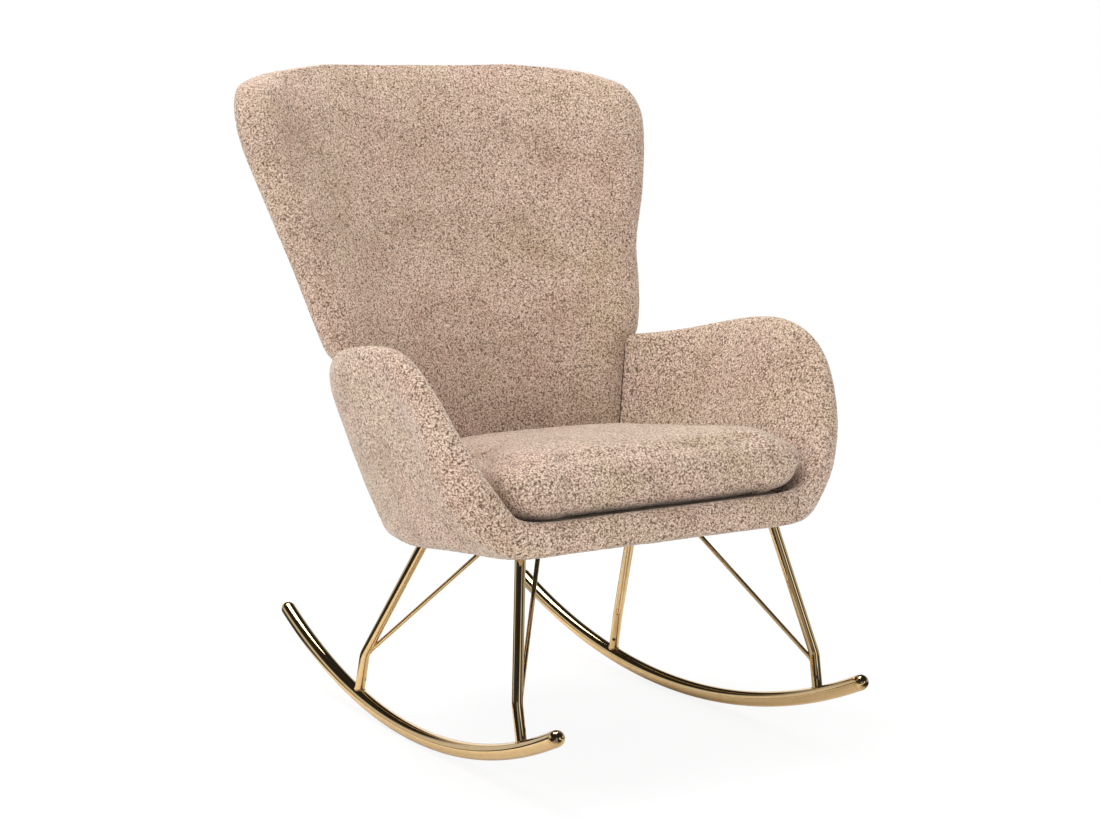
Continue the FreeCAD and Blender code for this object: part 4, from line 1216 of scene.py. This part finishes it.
def seam_line(name, points, radius, seed=5):
    """Slightly wavy dark line of thread along row-frame points in metres; laid in a crease, it also stands
    for painted shade there.
    """
    path = resample(points, max(24, len(points)))
    path = path + WAVER * np.stack([noise(path / MM, WAVER_CELL, seed + k) for k in range(3)], -1)
    return finish_piece(tube_object(name, tube_rings(path / MM, radius, 8)), CHAIR, THREAD)


def crossing_line(first, second, side, low, high, step=7.0):
    """Where two pieces meet on one side, taken from their touching faces nearest the front."""
    faces = [o.data.polygons for o in (first, second)]
    pairs = tree_of(first).overlap(tree_of(second))
    seat = row_to_seat([(faces[0][i].center + faces[1][j].center) / 2 for i, j in pairs])
    seat = seat[(seat[:, 0] * side > 0)]
    found = []
    for level in np.arange(low, high, step):
        near = seat[np.abs(seat[:, 2] - level) < step]
        if len(near) < 3:
            continue
        front = near[near[:, 1] < near[:, 1].min() + 6.0]
        found.append((*front[:, :2].mean(0), level))
    return seat_to_row(ease(np.array(found), 3))


def build_seams(tub, back, back_tree):
    for word, side in SIDES:
        # Along each arm's join with the back a dark cord lies in the crease: partly the seam and partly
        # painted shade there.
        line = crossing_line(tub, back, side, *ARM_SEAM_SPAN)
        if len(line) > 4:
            seam_line(f"arm_seam_shade_{word}", line, ARM_SEAM_SHADE)
    rows = np.array(BACK_ROWS)
    levels = np.linspace(0.40, 0.93, 60)
    half = np.interp(levels, rows[:, 0], rows[:, 1])
    right = np.stack([PANEL_SHARE * half * BACK_HALF, levels * BACK_TOP], -1)
    right = np.vstack([right, np.array(PANEL_TOP) * (BACK_HALF, BACK_TOP)])
    outline = resample(np.vstack([right, (right * MIRROR)[::-1][1:]]), 420)
    way = row_way((0, -1, 0))
    hits = []
    for x, z in outline:
        place, normal = cast(back_tree, (x, 500.0, z), way)
        if place is not None:
            hits.append(place - normal * 0.0001)
    seam_line("back_panel_seam", np.array(hits), PANEL_SEAM, seed=11)


# Deck under the cushion, its webbing, and the cloth under the seat

DECK_SEAMS = (-190.0, -95.0, 0.0)
DECK_SEAM_DEPTH, DECK_SEAM_WIDTH = 2.6, 3.6
DECK_VOXEL = 0.0045
DECK_SPREAD = 36.0
DECK_REACH = 16.0
LENGTHWISE = (-121.0, -60.5, 0.0, 60.5, 121.0)
CROSSWISE = (-190.8, -125.3, -59.8, 46.3)
STRAP_WIDTH = 48.0
STRAP_THICK = 1.1
STRAP_LEVEL = 24.45
STRAP_WEAVE = 0.65
# across a strap from edge to edge, and the thickness there, as shares of its halves
STRAP_PROFILE = ((-1, 0.5), (-0.97, 0.95), (-0.9, 1), (-0.86, 0.8), (-0.4, 0.78), (0, 0.78),
                 (0.4, 0.78), (0.86, 0.8), (0.9, 1), (0.97, 0.95), (1, 0.5))
DUST_INSET = -2.0
DUST_BOTTOM, DUST_TOP = 6.15, 6.85
STAPLE_INSET = -9.0
STAPLE = ((-5.0, 7.2), (-5.0, 5.6), (-4.6, 5.3), (4.6, 5.3), (5.0, 5.6), (5.0, 7.2))


def build_deck(tub_tree):
    """Quilted pad over the webbing, spread to the tub's wall towards the front."""
    obj = link_object("deck_pad", nodes["deck_foam"].data.copy())
    remesh(obj, DECK_VOXEL)
    smooth_points(obj, 10)
    seat = row_to_seat(read_points(obj))
    forward = fade(-20.0 - seat[:, 1], 230.0)
    outer = fade(np.abs(seat[:, 0]) - 110.0, 90.0)
    seat[:, 0] += DECK_SPREAD * np.sqrt(forward) * outer * np.sign(seat[:, 0])
    seat[:, 1] -= DECK_REACH * forward ** 2 * outer
    write_points(obj, seat_to_row(seat))
    press_clear(obj, [tub_tree], 0.0010)
    smooth_points(obj, 2)
    subdivide(obj)
    seat = row_to_seat(read_points(obj))
    top = fade(seat[:, 2] - 40.0, 8.0)
    for place in DECK_SEAMS:
        seat[:, 2] -= top * DECK_SEAM_DEPTH * np.exp(-((seat[:, 1] - place) / DECK_SEAM_WIDTH) ** 2)
    seat[:, 2] -= top * (0.6 + 0.4 * noise(seat, 60.0, 61))
    write_points(obj, seat_to_row(seat))
    obj.data.shade_smooth()
    finish_piece(obj, CHAIR, LINING, stands_for=["deck_foam"])
    tree = tree_of(obj)
    down = row_way((0, 0, -1))
    for number, place in enumerate(DECK_SEAMS):
        hits = [cast(tree, (x, place, 90.0), down)[0] for x in np.linspace(-192.0, 192.0, 150)]
        points = np.array([hit - down * 0.0002 for hit in hits if hit is not None])
        seam_line(f"deck_stitch_{number}", points, DECK_STITCH, seed=70 + number)


def ribbon(name, line, stands_for):
    """Woven strap along a seat-frame line, with thicker selvedges."""
    run = unit(np.gradient(line, axis=0))
    across = unit(np.cross(run, (0.0, 0.0, 1.0)))
    up = np.cross(across, run)
    ring = [(x * STRAP_WIDTH / 2, e * STRAP_THICK / 2) for x, e in STRAP_PROFILE]
    ring += [(x, -z) for x, z in ring[::-1]]
    rings = np.array([[p + a * x + u * z for x, z in ring] for p, a, u in zip(line, across, up)])
    obj = new_object(name, seat_to_row(rings).reshape(-1, 3), tube_faces(*rings.shape[:2]))
    turn_outward(obj)
    return finish_piece(obj, CHAIR, WEBBING, [stands_for])


def weave(along, crossings, turn):
    """Height of a strap that passes over and under the ones that cross it."""
    waves = sum((-1) ** (turn + k) * np.exp(-((along - c) / 26.0) ** 2) for k, c in enumerate(crossings))
    return STRAP_LEVEL + STRAP_WEAVE * waves


def build_webbing():
    for number, x in enumerate(LENGTHWISE):
        along = np.linspace(-243.0, 111.0, 90)
        line = np.stack([0 * along + x, along, weave(along, CROSSWISE, number)], -1)
        ribbon(f"strap_lengthwise_{number + 1}", line, "webbing_lengthwise")
    for number, y in enumerate(CROSSWISE):
        across = np.linspace(-189.0, 189.0, 90)
        line = np.stack([across, 0 * across + y, weave(across, LENGTHWISE, number + 1)], -1)
        ribbon(f"strap_crosswise_{number + 1}", line, "webbing_crosswise")


def build_dust_cover():
    """Black cloth stapled under the board, a little slack between the bars."""
    outline = board_outline(DUST_INSET)
    along = np.concatenate([outline[1:, 1], [BOARD_REAR + DUST_INSET]])
    half = np.concatenate([outline[1:, 0], [0.0]])
    order = np.argsort(along)
    levels = np.linspace(along.min() + 0.2, along.max() - 1.0, 130)
    width = np.interp(levels, along[order], half[order])
    x = np.linspace(-1, 1, 120)[None] * width[:, None]
    y = np.broadcast_to(levels[:, None], x.shape)
    flat = np.stack([x.ravel(), y.ravel(), 0 * x.ravel()], -1)
    inside = fade(width[:, None] - np.abs(x), 40.0) * fade(244.0 - y, 30.0)
    slack = fade(y - 72.0, 40.0) * inside
    middle = fade(104.0 - np.abs(x), 30.0) * fade(-28.0 - y, 30.0) * fade(y + 232.0, 30.0)
    fold = 0.55 + 0.45 * noise(flat * (1.0, 0.5, 1.0), 38.0, 91).reshape(x.shape)
    sag = (2.6 * slack + 1.8 * middle) * fold
    lower, upper = (np.stack([x, y, level - sag], -1) for level in (DUST_BOTTOM, DUST_TOP))
    obj = slab_object("dust_cloth", lower, upper)
    finish_piece(obj, CHAIR, DUST, ["dust_cover"])
    border = board_outline(STAPLE_INSET)[1:]
    places = resample(np.vstack([border, (border * MIRROR)[::-1]]), 44, closed=True)
    ahead = unit(np.roll(places, -1, 0) - np.roll(places, 1, 0))
    staples = []
    for (px, py), (dx, dy) in zip(places, ahead):
        if not (-27.0 < py < 69.0 or py < -234.0):
            staples.append(tube_rings([(px + dx * a, py + dy * a, z) for a, z in STAPLE], 0.45, 6))
    join_tubes("cover_staples", staples, ZINC)


# Bolts under the bars, as radius and height from the board's underside

BOLT_PLACES = ((-170, -270), (-60, -270), (60, -270), (170, -270), (-192, -2), (192, -2))
BOLT_PROFILE = (
    (3.5, 20.8), (3.5, -1.1), (6.3, -1.1), (6.8, -1.5), (6.6, -2.2), (5.8, -3.0), (4.4, -3.5), (3.0, -3.7),
    (2.6, -3.6), (2.5, -2.0), (0.4, -1.9),
)
WASHER_PROFILE = ((3.7, -0.05), (8.3, -0.05), (8.5, -0.2), (8.5, -0.9), (8.3, -1.05), (3.7, -1.05))


def turned(profile):
    """Rings of a turned form about the upright axis."""
    return np.array([[(r * math.cos(a), r * math.sin(a), z) for a in round_angles(32)] for r, z in profile])


def build_bolts():
    """Low button heads with a socket, on plain washers."""
    for name, profile, node in (
        ("button_head_bolts", BOLT_PROFILE, "frame_bolts"),
        ("plain_washers", WASHER_PROFILE, "frame_washers"),
    ):
        tubes = [turned(profile) + (x, y, 0) for x, y in BOLT_PLACES]
        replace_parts(join_tubes(name, tubes, COATED), node)


# Zip at the rear of the cushion's cover

ZIP_HALF = 150.0
ZIP_LEVEL = 80.0
ZIP_TAPE = 10.5
ZIP_PITCH = 2.6
ZIP_END = 8.0
ZIP_OUT, ZIP_IN = 1.7, 1.5
TOOTH_RING = ((-0.75, -1.7), (0.75, -1.7), (0.75, 1.7), (-0.75, 1.7))
TOOTH_LAYERS = ((-0.6, 1.0), (0.7, 1.0), (1.05, 0.72))
TOOTH_SHIFT = 0.9
SLIDER_STATION = 10


def oval(half_across, half_along, across_power, along_power):
    """Rounded outline, squarer where a power is below one."""
    def bent(value, power):
        return math.copysign(abs(value) ** power, value)

    return [
        (half_across * bent(math.cos(a), across_power), half_along * bent(math.sin(a), along_power))
        for a in round_angles(20)
    ]


def build_zip(cushion):
    tree = tree_of(cushion)
    way = row_way((0, -1, 0))
    xs = np.linspace(-ZIP_HALF - 6, ZIP_HALF + 6, 110)
    heights = np.linspace(-ZIP_TAPE, ZIP_TAPE, 9)
    grid = np.array([
        ease(row_to_seat([cast(tree, (x, 300.0, ZIP_LEVEL + h), way)[0] for x in xs]), 12) for h in heights
    ])
    out = unit(np.cross(np.gradient(grid, axis=1), np.gradient(grid, axis=0)))
    out[out[..., 1] < 0] *= -1
    outer = grid + out * ZIP_OUT
    tape = slab_object("zip_tape", outer, grid - out * ZIP_IN)
    finish_piece(tape, CUSHION, TAPE, ["seat_cushion_zip"])
    line, line_out = outer[len(heights) // 2], out[len(heights) // 2]
    run = run_of(line)

    def at_run(values, place):
        return np.array([np.interp(place, run, values[:, k]) for k in range(3)])

    def stack(centre, ahead, normal, ring, layers, shift):
        """Rings of one outline at heights along the normal, each drawn in by a share."""
        up = np.cross(normal, ahead)
        return np.array([
            [centre + ahead * (a * k) + up * (b * k + shift) + normal * lift for a, b in ring]
            for lift, k in layers
        ])

    teeth = []
    for number, place in enumerate(np.arange(ZIP_END, run[-1] - ZIP_END, ZIP_PITCH / 2)):
        centre, normal = at_run(line, place), at_run(line_out, place)
        ahead = unit(at_run(line, place + 1) - centre)
        shift = TOOTH_SHIFT if number % 2 else -TOOTH_SHIFT
        teeth.append(stack(centre, ahead, normal, TOOTH_RING, TOOTH_LAYERS, shift))
    join_tubes("zip_teeth", teeth, BRASS, CUSHION)
    centre, normal = line[SLIDER_STATION], line_out[SLIDER_STATION]
    ahead = unit(line[SLIDER_STATION + 2] - centre)
    plates = []
    for ring, low, high, bevel, shift in (
        (oval(4.8, 4.0, 0.5, 0.7), -0.2, 2.6, 0.12, 0.0),
        (oval(2.2, 7.5, 1.0, 0.6), 2.7, 3.7, 0.1, -8.0),
    ):
        layers = ((low, 1 - bevel), (low + 0.3, 1.0), (high - 0.3, 1.0), (high, 1 - bevel))
        plates.append(stack(centre, ahead, normal, ring, layers, shift))
    join_tubes("zip_slider", plates, BRASS, CUSHION)


# Materials of the CAD nodes that stay

NODE_MATERIALS = (
    (COATED, ("underframe_front_bar", "underframe_rear_bar",
              "underframe_side_bar_left", "underframe_side_bar_right")),
    (WOOD, ("seat_board", "tub_shell", "back_shell")),
    (ZINC, ("tee_nuts", "back_bracket_left", "back_bracket_right")),
)


def dress_nodes():
    for material, names in NODE_MATERIALS:
        for name in names:
            mesh = nodes[name].data
            mesh.materials.clear()
            mesh.materials.append(material)


# Studio

# What the tubes mirror: a white sweep low down round the back of the chair, a dark room above it
# and before it, and narrow bright panels there, as grey levels round the horizon and with height
ROUND_STOPS = (
    (0.000, 0.02), (0.115, 0.02), (0.125, 0.28), (0.180, 0.28), (0.190, 0.03), (0.245, 0.03), (0.255, 1.00),
    (0.298, 1.00), (0.308, 0.03), (0.395, 0.03), (0.415, 0.45), (0.630, 0.50), (0.645, 1.00), (0.705, 1.00),
    (0.730, 0.60), (0.900, 0.60), (0.930, 0.02), (1.000, 0.02),
)
FLOOR_STOPS = (
    (0.000, 0.02), (0.105, 0.02), (0.120, 0.26), (0.165, 0.26), (0.175, 0.03), (0.235, 0.03), (0.245, 0.90),
    (0.280, 0.90), (0.290, 0.03), (0.430, 0.03), (0.450, 0.42), (0.790, 0.42), (0.820, 0.05), (1.000, 0.02),
)
LEVEL_STOPS = ((0.0, 1.0), (0.64, 1.0), (0.70, 0.0), (1.0, 0.0))
DARK_ROOM = 0.02
WORLD_LIGHT = 0.86
WORLD_TINT = (1.0, 0.985, 0.97, 1)
WHITE = (1, 1, 1, 1)
FLOOR_RINGS = (0.6, 1.2, 2.0, 3.5, 8.0, 40.0)
FLOOR_SEGMENTS = 64
FLOOR_PALE = (0.94, 0.94, 0.94)
FLOOR_MIRRORED = (0.70, 0.65, 0.57)
# name, place, aim, size in metres and power in watts
LAMPS = (
    ("key", (-3.0, -1.2, 1.4), (0, 0, 0.5), 1.6, 30),
    ("front", (-0.9, -2.5, 0.4), (0, 0, 0.5), 1.4, 9),
    ("side", (2.8, -1.6, 1.2), (0, 0, 0.5), 2.0, 14),
    ("overhead", (-0.4, 0.9, 3.2), (0, 0, 0.4), 2.0, 78),
    ("rear", (1.2, 2.8, 2.0), (0, 0, 0.6), 2.0, 26),
)
CAMERA_PLACE = (-1.96717, -3.06285, 1.03742)
CAMERA_TURN = (math.radians(90 - 8.631), 0, math.radians(-32.775))
CAMERA_LENS = 77.27
CAMERA_SENSOR = 36.0


def build_world():
    """White surroundings for the camera, soft light for the pile, and a studio of dark walls
    with bright panels for whatever the polished tubes mirror."""
    world = bpy.data.worlds.new("studio")
    bpy.context.scene.world = world
    world.use_nodes = True
    w = Nodes(world.node_tree)
    split = w.add("ShaderNodeSeparateXYZ")
    w.join(w.add("ShaderNodeTexCoord").outputs["Generated"], split.inputs[0])
    across, along, up = split.outputs
    bearing = w.math("MULTIPLY_ADD", w.math("ARCTAN2", along, across), 0.5 / math.pi, 0.5)
    height = w.math("MULTIPLY_ADD", up, 0.5, 0.5)
    panels = w.math("MULTIPLY", w.ramp(bearing, ROUND_STOPS), w.ramp(height, LEVEL_STOPS))
    soft = w.add("ShaderNodeBackground", Color=WORLD_TINT, Strength=WORLD_LIGHT)
    mirrored = w.add("ShaderNodeBackground", Strength=1.0)
    w.join(w.math("ADD", panels, DARK_ROOM), mirrored.inputs["Color"])
    seen = w.add("ShaderNodeBackground", Color=WHITE, Strength=1.0)
    rays = w.add("ShaderNodeLightPath").outputs
    lit = w.mix_shaders(rays["Is Glossy Ray"], soft.outputs[0], mirrored.outputs[0])
    w.show("OUTPUT_WORLD", w.mix_shaders(rays["Is Camera Ray"], lit, seen.outputs[0]))


def floor_material():
    """Pale floor that fades into the white around it, with the studio's panels on it for
    mirrored rays beyond the chair."""
    s = Shader("pale_floor")
    rays = s.add("ShaderNodeLightPath").outputs
    s.set(Base_Color=s.mix(rays["Is Glossy Ray"], FLOOR_PALE, FLOOR_MIRRORED), Roughness=0.9)
    reach = s.add("ShaderNodeVectorMath", operation="LENGTH")
    s.join(s.place, reach.inputs[0])
    far = s.span(reach.outputs["Value"], 0.75, 1.5, 0.86, 1.0)
    glow = s.add("ShaderNodeEmission", Color=WHITE, Strength=1.0)
    seen = s.math("MULTIPLY", rays["Is Camera Ray"], far)
    floor = s.mix_shaders(seen, s.surface.outputs[0], glow.outputs[0])
    split = s.add("ShaderNodeSeparateXYZ")
    s.join(s.place, split.inputs[0])
    bearing = s.math("MULTIPLY", s.math("ARCTAN2", split.outputs["Y"], split.outputs["X"]), 0.5 / math.pi)
    sweep = s.add("ShaderNodeEmission", Strength=1.0)
    s.join(s.ramp(s.math("ADD", bearing, 0.5), FLOOR_STOPS), sweep.inputs["Color"])
    away = s.span(reach.outputs["Value"], 0.5, 0.65)
    beyond = s.math("MULTIPLY", rays["Is Glossy Ray"], away)
    s.show("OUTPUT_MATERIAL", s.mix_shaders(beyond, floor, sweep.outputs[0]))
    return s.material


def build_floor():
    turn = round_angles(FLOOR_SEGMENTS)
    points = [(0, 0, 0)] + [(r * math.cos(a), r * math.sin(a), 0) for r in FLOOR_RINGS for a in turn]
    faces = [(0, 1 + k, 1 + (k + 1) % FLOOR_SEGMENTS) for k in range(FLOOR_SEGMENTS)]
    faces += [tuple(f[[0, 3, 2, 1]] + 1) for f in grid_faces(len(FLOOR_RINGS), FLOOR_SEGMENTS, False, True)]
    floor = new_object("floor", np.array(points), faces)
    floor.data.materials.append(floor_material())


def build_studio():
    build_floor()
    build_world()
    for name, place, aim, size, power in LAMPS:
        light = bpy.data.lights.new(name, "AREA")
        light.shape = "SQUARE"
        light.size = size
        light.energy = power
        lamp = link_object(name, light)
        lamp.location = place
        lamp.rotation_euler = (Vector(aim) - Vector(place)).to_track_quat("-Z", "Y").to_euler()
        lamp.visible_glossy = name == "overhead"
    camera_data = bpy.data.cameras.new("camera")
    camera_data.sensor_width = CAMERA_SENSOR
    camera_data.lens = CAMERA_LENS
    camera_data.clip_end = 100.0
    camera = link_object("camera", camera_data)
    camera.location = CAMERA_PLACE
    camera.rotation_euler = CAMERA_TURN
    bpy.context.scene.camera = camera
    bpy.context.scene.view_settings.view_transform = "Standard"


build_studio()
dress_nodes()
build_base()

tub = build_tub()
back = build_back()
add_pile(tub, seed=3)
add_pile(back, seed=13)
tub_tree, back_tree = tree_of(tub), tree_of(back)
cushion = build_cushion((tub_tree, back_tree))
add_pile(cushion, seed=23)
press_clear(cushion, (tub_tree, back_tree), 0.0006)
build_seams(tub, back, back_tree)
build_deck(tub_tree)
build_webbing()
build_dust_cover()
build_bolts()
build_zip(cushion)
finish_piece(tub, CHAIR, FABRIC_LOW, ["tub_upholstery"])
finish_piece(back, CHAIR, FABRIC, ["back_upholstery"])
finish_piece(cushion, CUSHION, FABRIC_LOW, ["seat_cushion_cover", "seat_cushion_foam"])
